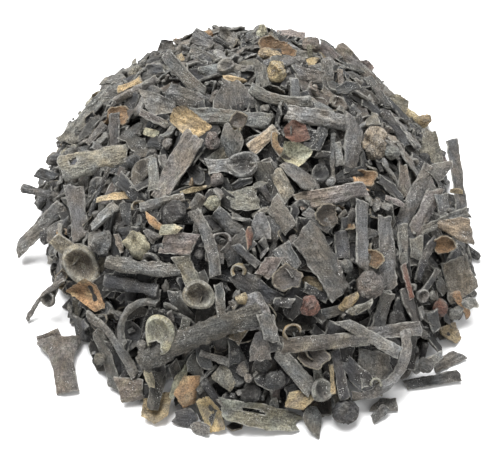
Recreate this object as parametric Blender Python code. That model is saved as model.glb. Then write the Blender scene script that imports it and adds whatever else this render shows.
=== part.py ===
"""Dried bladderwrack, cut small and heaped on a table.

The heap is one solid: a mound-shaped core with the pieces that show fused on. The pieces are
stiff grey straps of frond, collapsed bladders on their stalks, thin tan bladder shells, rough
stalks and warty tips. Metres, +Z up, the origin in the middle under the heap. The photograph
shows the -Y side, looked down on.

Most pieces that show in the photograph are in SEEN, each by the two points of the picture
between which it lies. The line of sight through such a point meets the heap at the piece's
place. The far side is covered by a rule.
"""

import math
import random
from collections import namedtuple

import bmesh
import bpy
import numpy as np

MM = 0.001

# The mound, from its axis to its foot, and how high it is.
HALF_WIDTH = 53 * MM
DEPTH_FRONT = 54 * MM
DEPTH_BACK = 70 * MM
HEIGHT = 38 * MM
SPILL = 0.10  # how much further the foot reaches at the near right
SPILL_TURN = math.radians(-42)
SWELL = 1.1 * MM  # the height of its unevenness
AXIS = np.array([0.0, -8.4 * MM, 0.0])  # where the mound's axis stands, from the origin

# The core under the pieces.
CORE_SHARE = 0.98  # of the mound's foot
CORE_DEPTH = 1.5 * MM  # under the mound's surface
CORE_EDGE = 1.2 * MM  # the least height of its foot
SPOKES, RINGS = 34, 9

# The photograph: 500 x 452 pixels, taken from this far at this tilt.
VIEW_TILT = math.radians(50)
VIEW_DISTANCE = 248 * MM
PICTURE_MIDDLE = (250, 226)
FOCAL_PIXELS = 1026
AXIS_ACROSS = -5 / FOCAL_PIXELS * VIEW_DISTANCE  # the axis is 5 pixels left of the middle

# How a piece lies. In a loose heap it doesn't lie flat on the slope, and half faces the camera.
TURNED = 0.5
CLEAR_SHARE = 0.84  # this share of its corners is clear of what lies below, and the rest is sunk

# Thicknesses of what the heap is made of.
FROND = 0.9 * MM
SKIN = 0.7 * MM

# The pieces that a rule spreads over what the photograph doesn't show: each one's form, its
# lengths and widths in millimetres, and how common it is.
SCATTERED = 185
SCATTER_CLEARANCE = 5.2 * MM  # from the middle of a scattered piece to its neighbours'
SCATTER_KINDS = (
    ("strap", (7, 17), (2.4, 4.6), 50),
    ("wedge", (5, 9), (4, 7), 14),
    ("leaf", (5, 11), (2.5, 4.5), 10),
    ("pod", (6, 10), (4.5, 7), 10),
    ("shell", (5, 7), (4.5, 6.5), 8),
    ("rod", (9, 16), (1.6, 3), 8),
)
SEED = 4000

# A piece's two ends are pixels and its width is in millimetres. bend arches it and sweep curves
# it in its own plane, in degrees, and cup lifts its long edges, in widths.
Piece = namedtuple("Piece", "form start end width bend sweep cup", defaults=(0, 0, 0))


# ---------------------------------------------------------------- the mound and the sight line


def swell(x, y):
    """The mound's own unevenness, in metres."""
    return SWELL * (
        np.sin(x / (8 * MM) + 1.3) * np.cos(y / (10 * MM) - 0.4)
        + np.sin(y / (7 * MM) + x / (19 * MM))
    )


def spill(turn):
    """How far the foot reaches past its oval: pieces have slid down on one side."""
    return 1 + SPILL * np.clip(np.cos(turn - SPILL_TURN), 0, 1) ** 4


def mound(x, y):
    """The height of the heap's surface over a place."""
    x, y = x - AXIS[0], y - AXIS[1]
    across, away = x / HALF_WIDTH, y / np.where(y < 0, DEPTH_FRONT, DEPTH_BACK)
    share = np.hypot(across, away) / spill(np.arctan2(away, across))
    dome = HEIGHT * (1 - share**2)
    return np.maximum(dome + swell(x, y) * np.clip(2 * (1 - share), 0, 1), 0)


class Ground:
    """The height of all that has been laid so far, on a square grid seen from above."""

    CELL, REACH = 0.6 * MM, 84 * MM

    def __init__(self):
        cells = round(2 * self.REACH / self.CELL)
        self.z = np.zeros((cells, cells))

    def cells(self, values):
        return np.clip(((values + self.REACH) / self.CELL).astype(int), 0, len(self.z) - 1)

    def height(self, x, y):
        return self.z[self.cells(y), self.cells(x)]

    def cover(self, points, faces, parts=6):
        """Raises the ground under a solid, by points spread all over its triangles."""
        steps = [(i, j, parts - i - j) for i in range(parts + 1) for j in range(parts + 1 - i)]
        shares = np.array(steps) / parts
        spread = np.einsum("sk,fkc->sfc", shares, points[faces]).reshape(-1, 3)
        places = self.cells(spread[:, 1]), self.cells(spread[:, 0])
        np.maximum.at(self.z, places, spread[:, 2])


def sight_line(pixel):
    """The camera's place, and the way from it through a pixel for each metre of depth."""
    down, level = math.sin(VIEW_TILT), math.cos(VIEW_TILT)
    ahead = np.array([0, level, -down])
    right, up = np.array([1, 0, 0]), np.array([0, down, level])
    camera = AXIS - AXIS_ACROSS * right - VIEW_DISTANCE * ahead
    across = (pixel[0] - PICTURE_MIDDLE[0]) / FOCAL_PIXELS
    rise = (PICTURE_MIDDLE[1] - pixel[1]) / FOCAL_PIXELS
    return camera, ahead + across * right + rise * up


def seen_at(pixel, ground):
    """The point of the heap that shows at a pixel of the photograph."""
    camera, ray = sight_line(pixel)
    depths = np.arange(0.6, 1.5, 0.001) * VIEW_DISTANCE
    points = camera + depths[:, None] * ray
    clear = points[:, 2] - ground.height(points[:, 0], points[:, 1])
    on_heap = mound(points[:, 0], points[:, 1]) > 0
    hit = np.argmax(clear <= 0)
    if points[hit, 1] > AXIS[1] and on_heap[:hit].any():
        hit = np.argmin(np.where(on_heap, np.abs(clear), 1))  # it just clears the far rim
    return points[hit]


# ---------------------------------------------------------------- the forms, in their own frames
# A form lies along X with its face up, and gives its corners and its triangles.


def spine(length, bend, sweep, steps):
    """Points along a curved strip, and its directions along, across and out of its face."""
    t = np.linspace(-0.5, 0.5, steps + 1)
    pitch, heading = -bend * t, -sweep * t
    flat = np.zeros_like(t)
    along = np.stack(
        [np.cos(pitch) * np.cos(heading), np.cos(pitch) * np.sin(heading), np.sin(pitch)], 1
    )
    across = np.stack([-np.sin(heading), np.cos(heading), flat], 1)
    strides = (along[1:] + along[:-1]) / 2 * length / steps
    points = np.vstack([np.zeros(3), np.cumsum(strides, 0)])
    return points - (points[0] + points[-1]) / 2, along, across, np.cross(along, across)


def closed_sheet(upper, lower):
    """A thin solid between two grids of points. Both faces are split into triangles alike."""
    rows, columns = upper.shape[:2]
    index = np.arange(rows * columns).reshape(rows, columns)
    a, b, c, d = index[:-1, :-1], index[1:, :-1], index[1:, 1:], index[:-1, 1:]
    top = np.concatenate([np.stack([a, b, c], -1), np.stack([a, c, d], -1)]).reshape(-1, 3)
    under = top[:, ::-1] + rows * columns
    loop = np.concatenate([index[:, 0], index[-1, 1:], index[-2::-1, -1], index[0, -2:0:-1]])
    after = np.roll(loop, -1)
    low, low_after = loop + rows * columns, after + rows * columns
    rim = np.concatenate(
        [np.stack([low, low_after, after], -1), np.stack([low, after, loop], -1)]
    )
    return np.vstack([upper.reshape(-1, 3), lower.reshape(-1, 3)]), np.vstack([top, under, rim])


def sheet(length, half_widths, thickness, bend, sweep, cup, columns=1, relief=None):
    """A bent strip of frond. cup lifts its long edges, in widths; relief(x, y) raises its face."""
    points, along, across, out = spine(length, bend, sweep, len(half_widths) - 1)
    v = np.linspace(-1, 1, columns + 1)
    y = half_widths[:, None] * v
    x = np.linspace(-0.5, 0.5, len(half_widths))[:, None] * length + 0 * y
    z = cup * np.abs(y) * np.abs(v)
    if relief:
        z = z + relief(x, y)
    face = points[:, None] + across[:, None] * y[..., None] + out[:, None] * z[..., None]
    half = out[:, None] * thickness / 2
    return closed_sheet(face + half, face - half)


def strap(length, width, piece, draw):
    """A cut length of frond, a little wider at one end."""
    steps = int(np.clip(round(length / (5 * MM)), 2, 5))
    steps = max(steps, round(abs(piece.bend) + abs(piece.sweep)) * 3)
    taper = draw.uniform(-0.12, 0.12)
    widths = width / 2 * (1 + np.linspace(-taper, taper, steps + 1))
    columns = 2 if piece.cup else 1
    return sheet(length, widths, FROND, piece.bend, piece.sweep, piece.cup, columns)


def wedge(length, width, piece, draw):
    """A flake that widens from its start to its end."""
    widths = width / 2 * np.array([0.22, 0.62, 0.95, 1.0])
    return sheet(length, widths, FROND, piece.bend, piece.sweep, piece.cup)


def leaf(length, width, piece, draw):
    """A flake that narrows to both ends."""
    widths = width / 2 * np.array([0.25, 0.85, 1.0, 0.8, 0.2])
    columns = 2 if piece.cup else 1
    return sheet(length, widths, SKIN, piece.bend, piece.sweep, piece.cup, columns)


def pod(length, width, piece, draw):
    """A collapsed bladder: a round head with a raised rim, on a stretch of strap."""
    whole, radius = length + width / 2, width / 2
    from_head = np.array([0.02, 0.12, 0.35, 0.6, 0.8, 1]) * whole
    circle = np.sqrt(np.maximum(radius**2 - (from_head - radius) ** 2, 0))
    tail = np.where(from_head > radius, 0.24 * width, 0)
    widths = np.maximum(np.maximum(circle, tail), 0.2 * radius)
    head_at = radius - whole / 2

    def rim(x, y):
        out = np.hypot(x - head_at, y) / radius
        return 0.16 * radius * np.clip(1 - np.abs(out - 0.85) / 0.5, 0, 1)

    points, faces = sheet(whole, widths, 1.3 * FROND, piece.bend, piece.sweep, 0, 2, rim)
    return points - [width / 4, 0, 0], faces


def ring(length, width, piece, draw):
    """A curled strap, nearly closed, standing on its edge."""
    turn = math.radians(300)
    points, faces = sheet(turn * width / 2, np.full(7, 0.22 * width), SKIN, turn, 0, 0)
    return (points - points.mean(0))[:, [0, 2, 1]] * [1, 1, -1], faces


def shell(length, width, piece, draw):
    """Half a dried bladder: a thin torn cup, its mouth up."""
    around, down = 7, 2
    radius = width / 2
    turn = np.linspace(0, 2 * math.pi, around, endpoint=False)
    torn = 1 + 0.18 * np.array([math.sin(2 * a + draw.uniform(0, 6)) for a in turn])
    levels = np.array([1, 0.42])
    tilt = levels[:, None] * math.radians(82) * torn
    shape = np.stack(
        [np.sin(tilt) * np.cos(turn), 0.8 * np.sin(tilt) * np.sin(turn), -np.cos(tilt)], -1
    )
    outer, inner = shape * radius, shape * (radius - SKIN)
    points = np.vstack([outer.reshape(-1, 3), inner.reshape(-1, 3)])
    faces = []
    for side, flip in ((0, 1), (down * around, -1)):
        for row in range(down - 1):
            for i in range(around):
                j = (i + 1) % around
                a, b = side + row * around + i, side + row * around + j
                faces += [(a, a + around, b)[::flip], (b, a + around, b + around)[::flip]]
        last = side + (down - 1) * around
        faces += [(last, last + i + 1, last + i)[::flip] for i in range(1, around - 1)]
    for i in range(around):
        j, under = (i + 1) % around, down * around
        faces += [(i, j, under + j), (i, under + j, under + i)]
    return points, np.array(faces)


def rod(length, width, piece, draw):
    """A stalk, unevenly round."""
    sides, steps = (6, 5) if width > 3 * MM else (4, 3)
    points, along, across, out = spine(length, piece.bend, piece.sweep, steps)
    turn = np.linspace(0, 2 * math.pi, sides, endpoint=False)
    radii = width / 2 * np.array([draw.uniform(0.85, 1.1) for _ in points])
    rim = np.cos(turn)[:, None] * across[:, None] + 0.8 * np.sin(turn)[:, None] * out[:, None]
    body = points[:, None] + radii[:, None, None] * rim
    return body.reshape(-1, 3), tube_faces(len(points), sides)


def lump(length, width, piece, draw):
    """A swollen tip or a crumpled bladder, knobbly and unevenly round."""
    sides = 6
    along = np.array([-0.46, -0.2, 0.22, 0.46])[:, None] * max(length, width)
    turn = np.linspace(0, 2 * math.pi, sides, endpoint=False)
    knobs = np.array([[draw.uniform(0.85, 1.12) for _ in turn] for _ in along])
    radii = width / 2 * knobs * np.array([0.45, 1, 1, 0.45])[:, None]
    rows = np.stack([along + 0 * radii, radii * np.cos(turn), 0.8 * radii * np.sin(turn)], -1)
    return rows.reshape(-1, 3), tube_faces(len(along), sides)


def tube_faces(rows, sides):
    """The triangles of a tube of rings of points, with both its ends closed."""
    faces = []
    for row in range(rows - 1):
        for i in range(sides):
            a, b = row * sides + i, row * sides + (i + 1) % sides
            faces += [(a, b, b + sides), (a, b + sides, a + sides)]
    last = (rows - 1) * sides
    faces += [(0, i + 1, i) for i in range(1, sides - 1)]
    faces += [(last, last + i, last + i + 1) for i in range(1, sides - 1)]
    return np.array(faces)


FORMS = {
    "strap": strap,
    "wedge": wedge,
    "leaf": leaf,
    "pod": pod,
    "ring": ring,
    "shell": shell,
    "rod": rod,
    "lump": lump,
}


# ---------------------------------------------------------------- laying a piece on the heap


def slope_under(ground, middle, heading, length, width):
    """The direction that the heap's surface faces under a piece."""
    u, v = np.meshgrid(np.linspace(-0.45, 0.45, 7) * length, np.linspace(-0.5, 0.5, 4) * width)
    dx = (u * math.cos(heading) - v * math.sin(heading)).ravel()
    dy = (u * math.sin(heading) + v * math.cos(heading)).ravel()
    heights = ground.height(middle[0] + dx, middle[1] + dy)
    fit = np.stack([dx, dy, np.ones_like(dx)], 1)
    slope_x, slope_y, _ = np.linalg.lstsq(fit, heights, rcond=None)[0]
    return unit(np.array([-slope_x, -slope_y, 1]))


def unit(vector):
    return vector / np.linalg.norm(vector)


def frame_of(along, out):
    """The directions along, across and out of a piece, as a matrix."""
    along = unit(along)
    out = unit(out - (out @ along) * along)
    return np.stack([along, np.cross(out, along), out])


def sunk_depth(points, ground):
    """How far to lift a piece until only some of its corners are sunk in what lies below."""
    depths = ground.height(points[:, 0], points[:, 1]) - points[:, 2]
    return np.quantile(depths, CLEAR_SHARE)


def touching(points, ground):
    """Lifts a piece clear of the table, and pushes it in until it touches the heap."""
    points = points + [0, 0, max(-points[:, 2].min(), 0)]
    inwards = unit((AXIS - points.mean(0)) * [1, 1, 0])
    while sunk_depth(points, ground) < -0.05 * MM:
        points = points + 0.3 * MM * inwards
    return points


def lay_seen(piece, ground, draw):
    """A piece that shows in the photograph, laid where the picture has it."""
    start, end = seen_at(piece.start, ground), seen_at(piece.end, ground)
    middle, chord = (start + end) / 2, end - start
    heading = math.atan2(chord[1], chord[0])
    slope = slope_under(ground, middle, heading, np.linalg.norm(chord), piece.width * MM)
    centre = ((piece.start[0] + piece.end[0]) / 2, (piece.start[1] + piece.end[1]) / 2)
    sight = unit(sight_line(centre)[1])
    chord = chord - TURNED * (chord @ sight) * sight
    points, faces = made(piece, np.linalg.norm(chord), piece.width * MM, draw)
    placed = middle + points @ frame_of(chord, slope - TURNED * sight)
    for _ in range(12):  # moved along the line of sight, it stays where the picture has it
        placed = placed + 0.6 * sight * sunk_depth(placed, ground) / sight[2]
    placed = touching(placed, ground)
    ground.cover(placed, faces)
    return middle, placed, faces


def made(piece, length, width, draw):
    """The piece's form in its own frame. A curved one is drawn out to span its two ends."""
    piece = piece._replace(bend=math.radians(piece.bend), sweep=math.radians(piece.sweep))
    curve = max(abs(piece.bend), abs(piece.sweep))
    if curve > 0.1 and piece.form in ("strap", "leaf", "wedge", "rod"):
        length *= curve / 2 / math.sin(curve / 2)
    return FORMS[piece.form](length, width, piece, draw)


def scattered_piece(draw):
    """A piece and its length, drawn by lot."""
    commonness = [kind[-1] for kind in SCATTER_KINDS]
    form, lengths, widths, _ = draw.choices(SCATTER_KINDS, weights=commonness)[0]
    piece = Piece(form, None, None, draw.uniform(*widths), draw.uniform(-30, 40))
    return piece, draw.uniform(*lengths) * MM


def lay_scattered(number, ground, middles):
    """One piece of an even spiral over the whole mound, or None where pieces lie already."""
    draw = random.Random(SEED + number)
    share = math.sqrt((number + 0.5) / SCATTERED)
    turn = number * math.pi * (3 - math.sqrt(5))
    depth = DEPTH_BACK if math.sin(turn) > 0 else DEPTH_FRONT
    x = AXIS[0] + share * math.cos(turn) * HALF_WIDTH
    y = AXIS[1] + share * math.sin(turn) * depth
    piece, length = scattered_piece(draw)
    heading = draw.uniform(0, 2 * math.pi)
    clear = min(math.hypot(x - m[0], y - m[1]) for m in middles)
    if clear < SCATTER_CLEARANCE:
        return None
    middle = np.array([x, y, ground.height(np.array(x), np.array(y))])
    slope = slope_under(ground, middle, heading, length, piece.width * MM)
    along = np.cross(slope, [-math.sin(heading), math.cos(heading), 0])
    points, faces = made(piece, length, piece.width * MM, draw)
    placed = middle + points @ frame_of(-along, slope)
    placed = touching(placed + [0, 0, sunk_depth(placed, ground)], ground)
    ground.cover(placed, faces)
    return piece, middle, placed, faces


# ---------------------------------------------------------------- Blender objects


def dried_frond():
    """The dull dark grey-brown of the whole heap."""
    material = bpy.data.materials.new("dried_frond")
    material.use_nodes = True
    shader = material.node_tree.nodes["Principled BSDF"]
    shader.inputs["Base Color"].default_value = (0.135, 0.128, 0.115, 1)
    shader.inputs["Metallic"].default_value = 0
    shader.inputs["Roughness"].default_value = 0.8
    return material


def mesh_object(name, points, faces, collection):
    mesh = bpy.data.meshes.new(name)
    mesh.from_pydata(points.tolist(), [], faces.tolist())
    made_object = bpy.data.objects.new(name, mesh)
    collection.objects.link(made_object)
    return made_object


def core_height(x, y):
    return np.maximum(mound(x, y) - CORE_DEPTH, CORE_EDGE)


def core():
    """The heap's inside: a closed mound with a flat foot and a slightly uneven top."""
    turn = np.linspace(0, 2 * math.pi, SPOKES, endpoint=False)
    share = np.sqrt(np.linspace(0, 1, RINGS + 1)[1:, None]) * CORE_SHARE * spill(turn)
    depth = np.where(np.sin(turn) > 0, DEPTH_BACK, DEPTH_FRONT)
    x = AXIS[0] + share * np.cos(turn) * HALF_WIDTH
    y = AXIS[1] + share * np.sin(turn) * depth
    rings = np.stack([x, y, core_height(x, y)], -1)
    foot = rings[-1] * [1, 1, 0]
    top = np.array([*AXIS[:2], core_height(*AXIS[:2])])
    points = np.vstack([top, rings.reshape(-1, 3), foot, AXIS])
    faces = []
    for i in range(SPOKES):
        j = (i + 1) % SPOKES
        faces.append((0, 1 + i, 1 + j))
        for row in range(RINGS):
            a, b = 1 + row * SPOKES + i, 1 + row * SPOKES + j
            faces += [(a, a + SPOKES, b), (b, a + SPOKES, b + SPOKES)]
        outer = 1 + RINGS * SPOKES
        faces.append((outer + j, outer + i, len(points) - 1))
    return points, np.array(faces)


def fuse(heap, pieces):
    """Joins the pieces to the core, and keeps the one outer skin."""
    union = heap.modifiers.new("pieces", "BOOLEAN")
    union.operation = "UNION"
    union.operand_type = "COLLECTION"
    union.collection = pieces
    union.solver = "MANIFOLD"
    graph = bpy.context.evaluated_depsgraph_get()
    fused = bpy.data.meshes.new_from_object(heap.evaluated_get(graph))
    heap.modifiers.clear()
    heap.data = fused
    for piece in list(pieces.objects):
        bpy.data.objects.remove(piece)
    bpy.data.collections.remove(pieces)
    keep_largest_skin(fused)


def keep_largest_skin(mesh):
    """Deletes sealed hollows and loose scraps: every connected skin but the largest."""
    bm = bmesh.new()
    bm.from_mesh(mesh)
    left, skins = set(bm.verts), []
    while left:
        skin, edge = set(), [left.pop()]
        while edge:
            vert = edge.pop()
            skin.add(vert)
            near = {e.other_vert(vert) for e in vert.link_edges} & left
            left -= near
            edge += near
        skins.append(skin)
    skins.sort(key=len)
    bmesh.ops.delete(bm, geom=[v for skin in skins[:-1] for v in skin], context="VERTS")
    bm.to_mesh(mesh)
    bm.free()


SEEN = (
    # The far rim, in the picture's top rows.
    Piece("leaf", (261, 27), (261, 46), 4.3),
    Piece("leaf", (277, 31), (304, 32), 3.8),
    Piece("strap", (193, 37), (226, 52), 2.6),
    Piece("lump", (302, 45), (320, 45), 4.4),
    Piece("rod", (316, 31), (319, 50), 1.3),
    Piece("strap", (321, 44), (336, 59), 3.1),
    Piece("strap", (337, 43), (372, 82), 3.2),
    Piece("strap", (368, 78), (388, 106), 2.1),
    Piece("shell", (262, 40), (296, 42), 8.2),
    Piece("lump", (258, 52), (282, 58), 3.0),
    Piece("strap", (147, 70), (164, 70), 2.5),
    Piece("strap", (160, 49), (206, 96), 2.9, 0, -30),
    Piece("wedge", (198, 70), (217, 70), 3.5),
    Piece("lump", (134, 62), (134, 78), 3.4),
    Piece("strap", (101, 80), (126, 78), 2.5),
    Piece("leaf", (384, 92), (407, 98), 5.4),
    Piece("strap", (398, 104), (431, 126), 2.4, 50),
    Piece("lump", (418, 122), (434, 118), 3.0),
    # The left side, from the back to the front.
    Piece("shell", (103, 112), (127, 112), 5.7),
    Piece("strap", (112, 112), (114, 149), 2.8),
    Piece("strap", (108, 92), (68, 136), 4.1),
    Piece("lump", (48, 160), (63, 160), 3.0),
    Piece("strap", (37, 172), (56, 178), 2.6),
    Piece("strap", (62, 165), (128, 152), 4.6, 12),
    Piece("rod", (22, 188), (62, 198), 1.9),
    Piece("strap", (62, 205), (18, 250), 3.7, 20),
    Piece("strap", (73, 186), (80, 240), 4.2),
    Piece("strap", (125, 203), (128, 226), 2.6),
    Piece("lump", (88, 242), (113, 242), 5.0),
    Piece("wedge", (138, 260), (136, 229), 5.8),
    Piece("pod", (90, 270), (54, 243), 6.5),
    Piece("shell", (71, 293), (105, 293), 7.2),
    Piece("pod", (49, 299), (64, 269), 3.3),
    Piece("strap", (66, 279), (27, 320), 1.2, 0, -50),
    Piece("rod", (105, 280), (158, 291), 2.5),
    Piece("rod", (108, 262), (181, 270), 2.6),
    # The top of the heap, as the picture shows it.
    Piece("pod", (226, 66), (252, 68), 3.4),
    Piece("strap", (260, 62), (263, 89), 2.7),
    Piece("lump", (276, 61), (276, 83), 4.3),
    Piece("strap", (295, 72), (323, 78), 3.4),
    Piece("strap", (326, 60), (328, 89), 2.7),
    Piece("wedge", (235, 82), (235, 110), 9.0, 0, 0, 0.15),
    Piece("leaf", (335, 92), (359, 85), 2.9),
    Piece("pod", (338, 104), (322, 88), 3.4),
    Piece("strap", (250, 88), (311, 100), 2.4, 0, -45),
    Piece("strap", (168, 92), (208, 106), 4.0, 60),
    Piece("leaf", (146, 104), (175, 106), 5.4),
    Piece("strap", (190, 115), (269, 122), 3.1, 15),
    Piece("leaf", (165, 120), (200, 133), 5.6, 0, 0, 0.3),
    Piece("shell", (229, 122), (247, 122), 4.2),
    Piece("leaf", (232, 127), (232, 158), 5.0),
    Piece("strap", (286, 113), (349, 124), 3.5),
    Piece("leaf", (297, 137), (324, 137), 3.5),
    Piece("strap", (385, 112), (408, 146), 2.3),
    Piece("strap", (355, 121), (350, 169), 3.9),
    Piece("lump", (375, 126), (375, 161), 5.0),
    Piece("strap", (250, 150), (276, 129), 2.7, 20),
    Piece("shell", (284, 158), (310, 158), 6.3),
    Piece("pod", (243, 165), (207, 166), 5.8),
    Piece("strap", (196, 136), (160, 201), 4.8, 10, 0, 0.2),
    # The right side, from the back to the front.
    Piece("wedge", (431, 130), (430, 163), 5.8),
    Piece("strap", (451, 141), (463, 238), 2.8),
    Piece("shell", (362, 178), (378, 178), 4.2),
    Piece("leaf", (378, 178), (401, 198), 2.2),
    Piece("leaf", (403, 164), (403, 197), 2.8),
    Piece("strap", (431, 167), (400, 228), 3.1),
    Piece("strap", (436, 190), (414, 237), 3.5),
    Piece("strap", (440, 194), (443, 211), 3.1),
    Piece("strap", (419, 232), (466, 211), 2.0),
    Piece("wedge", (438, 225), (471, 231), 4.6, 30),
    Piece("shell", (435, 247), (455, 247), 4.6),
    Piece("strap", (454, 259), (465, 296), 7.0, -15),
    Piece("strap", (455, 292), (468, 315), 1.9),
    Piece("shell", (439, 335), (465, 335), 5.4),
    Piece("strap", (432, 311), (437, 331), 2.5),
    Piece("strap", (435, 240), (417, 281), 2.0, 0, -40),
    Piece("leaf", (402, 224), (402, 263), 2.8),
    Piece("strap", (416, 237), (416, 259), 2.8),
    Piece("strap", (384, 217), (388, 291), 3.6, 10),
    Piece("strap", (388, 293), (376, 333), 3.3),
    Piece("shell", (365, 260), (385, 260), 4.6),
    Piece("strap", (362, 201), (362, 269), 2.8),
    Piece("lump", (356, 285), (384, 285), 4.9),
    # The middle of the picture.
    Piece("strap", (140, 207), (184, 197), 2.0),
    Piece("lump", (163, 212), (187, 212), 4.3),
    Piece("leaf", (163, 240), (195, 245), 4.6),
    Piece("strap", (215, 211), (239, 233), 3.0),
    Piece("ring", (210, 238), (230, 238), 4.6),
    Piece("strap", (193, 211), (215, 276), 2.4, 0, 40),
    Piece("strap", (229, 201), (258, 197), 5.1, -10),
    Piece("strap", (275, 171), (290, 198), 3.0),
    Piece("strap", (272, 202), (291, 229), 3.6),
    Piece("wedge", (262, 212), (262, 239), 4.8),
    Piece("strap", (280, 246), (296, 271), 3.8),
    Piece("strap", (262, 276), (275, 257), 3.0),
    Piece("leaf", (233, 274), (277, 301), 4.6),
    Piece("shell", (274, 280), (302, 280), 6.2),
    Piece("strap", (297, 203), (365, 188), 3.7),
    Piece("shell", (320, 218), (346, 218), 5.7),
    Piece("strap", (342, 231), (343, 259), 3.0),
    Piece("strap", (303, 229), (342, 293), 6.0, 10),
    Piece("pod", (199, 294), (180, 256), 6.0),
    Piece("wedge", (255, 292), (255, 330), 8.3),
    # The near rim, in the picture's bottom rows.
    Piece("strap", (50, 328), (94, 320), 2.8),
    Piece("strap", (73, 329), (80, 383), 4.7, 10),
    Piece("strap", (97, 329), (115, 389), 2.9),
    Piece("strap", (88, 316), (135, 376), 1.9, 0, 30),
    Piece("leaf", (118, 390), (143, 390), 4.6),
    Piece("strap", (155, 305), (125, 346), 1.4, 0, -150),
    Piece("shell", (138, 415), (172, 415), 7.2),
    Piece("strap", (160, 371), (152, 409), 2.9, 20),
    Piece("pod", (159, 335), (163, 349), 7.2),
    Piece("leaf", (186, 364), (170, 399), 2.0),
    Piece("leaf", (193, 373), (181, 409), 4.3),
    Piece("leaf", (175, 418), (197, 420), 4.2),
    Piece("leaf", (199, 397), (218, 431), 3.9, 0, 0, 0.4),
    Piece("wedge", (226, 368), (225, 392), 5.3),
    Piece("leaf", (221, 410), (298, 424), 5.0, 15),
    Piece("wedge", (259, 330), (261, 360), 4.7),
    Piece("strap", (265, 314), (272, 341), 3.3),
    Piece("lump", (265, 380), (286, 380), 3.8),
    Piece("leaf", (284, 402), (313, 402), 3.9),
    Piece("strap", (276, 349), (311, 389), 3.2),
    Piece("leaf", (316, 409), (316, 431), 4.2),
    Piece("pod", (321, 390), (317, 369), 4.3),
    Piece("shell", (297, 360), (330, 365), 6.8),
    Piece("strap", (335, 349), (345, 399), 2.1),
    Piece("leaf", (345, 361), (371, 389), 3.8),
    Piece("lump", (333, 412), (358, 412), 4.8),
    Piece("strap", (374, 405), (397, 405), 2.8),
    Piece("strap", (374, 351), (377, 382), 6.8, -10),
    Piece("strap", (405, 386), (459, 376), 2.3),
    Piece("strap", (434, 368), (460, 355), 2.7),
    Piece("strap", (412, 371), (441, 355), 1.9, 80),
    Piece("strap", (282, 346), (369, 338), 3.1, 10),
    Piece("strap", (368, 333), (421, 328), 2.8),
    Piece("strap", (405, 329), (352, 397), 2.1, 0, 75),
    Piece("strap", (342, 321), (399, 353), 2.5),
    Piece("rod", (143, 362), (262, 312), 4.2, 8),
)


def main():
    """Lays the pieces on the core one after the other, then joins them all."""
    for old in list(bpy.data.objects):
        bpy.data.objects.remove(old)
    scene = bpy.context.scene
    pieces = bpy.data.collections.new("pieces")
    scene.collection.children.link(pieces)
    points, faces = core()
    heap = mesh_object("bladderwrack_heap", points, faces, scene.collection)
    ground = Ground()
    ground.cover(points, faces, 16)
    draw, middles = random.Random(SEED), []
    for piece in SEEN:
        middle, points, faces = lay_seen(piece, ground, draw)
        middles.append(middle)
        mesh_object(piece.form, points, faces, pieces)
    for number in range(SCATTERED):
        laid = lay_scattered(number, ground, middles)
        if laid:
            piece, middle, points, faces = laid
            middles.append(middle)
            mesh_object(piece.form, points, faces, pieces)
    fuse(heap, pieces)
    heap.data.materials.clear()
    heap.data.materials.append(dried_frond())


main()
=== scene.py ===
# %% [markdown]
# # Dried bladderwrack, cut small and heaped on a table
# The real thing is a seaweed that was dried until it is stiff, cut into pieces between 3 and
# 30 mm long, and tipped out. It holds flat grey straps, bladders that have collapsed into
# spoons with a raised rim, thin tan shells of broken bladders, rough stalks and warty tips.
#
# The heap could be one sculpted surface, or a physics drop of copies of a few pieces. A
# sculpted surface has no gaps to look into, and a drop doesn't put the pieces where the
# photograph has them. So every piece here is a small mesh of its own shape, made by numpy,
# and laid on a map of heights that grows as the heap does. In this lesson all lengths are in
# millimetres until a mesh is made, and Blender gets metres.

# %% The frame that everything is fitted to
import math
from collections import defaultdict, namedtuple

import bpy
import numpy as np
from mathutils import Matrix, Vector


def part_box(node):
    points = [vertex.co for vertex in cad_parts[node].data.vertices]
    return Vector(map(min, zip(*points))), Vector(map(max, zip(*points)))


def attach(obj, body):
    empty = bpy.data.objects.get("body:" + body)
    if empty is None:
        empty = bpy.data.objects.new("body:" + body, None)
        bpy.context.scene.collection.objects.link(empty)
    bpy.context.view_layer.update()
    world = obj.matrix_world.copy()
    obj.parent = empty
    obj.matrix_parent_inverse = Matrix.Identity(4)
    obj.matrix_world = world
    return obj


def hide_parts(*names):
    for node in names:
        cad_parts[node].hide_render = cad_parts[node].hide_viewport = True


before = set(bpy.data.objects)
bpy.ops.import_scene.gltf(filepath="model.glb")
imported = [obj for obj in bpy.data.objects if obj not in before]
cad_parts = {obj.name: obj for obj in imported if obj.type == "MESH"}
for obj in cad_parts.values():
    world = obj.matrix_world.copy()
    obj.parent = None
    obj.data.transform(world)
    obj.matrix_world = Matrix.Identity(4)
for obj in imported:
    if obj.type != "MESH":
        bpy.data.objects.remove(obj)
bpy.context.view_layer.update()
heap_low, heap_high = (np.array(corner) * 1000 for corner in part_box("bladderwrack_heap"))
print("the solid heap reaches from", heap_low.round(1), "to", heap_high.round(1), "mm")

# %% [markdown]
# ## The camera, and what a pixel of the photograph looks at
# The camera looks down at 50 degrees from about 25 cm. Most pieces are named by the two
# pixels of the photograph between which they lie, so a pixel has to become a line of sight.
# Writing the camera down as plain numbers first lets the same numbers place both the pieces
# and Blender's own camera.

# %% The line of sight through a pixel
VIEW_TILT = math.radians(50)
VIEW_DISTANCE = 248.0
PICTURE_SIZE = np.array([500, 452])
FOCAL_PIXELS = 1026
AXIS = np.array([0.0, -8.4, 0.0])  # the mound's axis, from the middle of the box
AXIS_ACROSS = -1.2  # the mound's axis is a little left of the picture's middle

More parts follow.
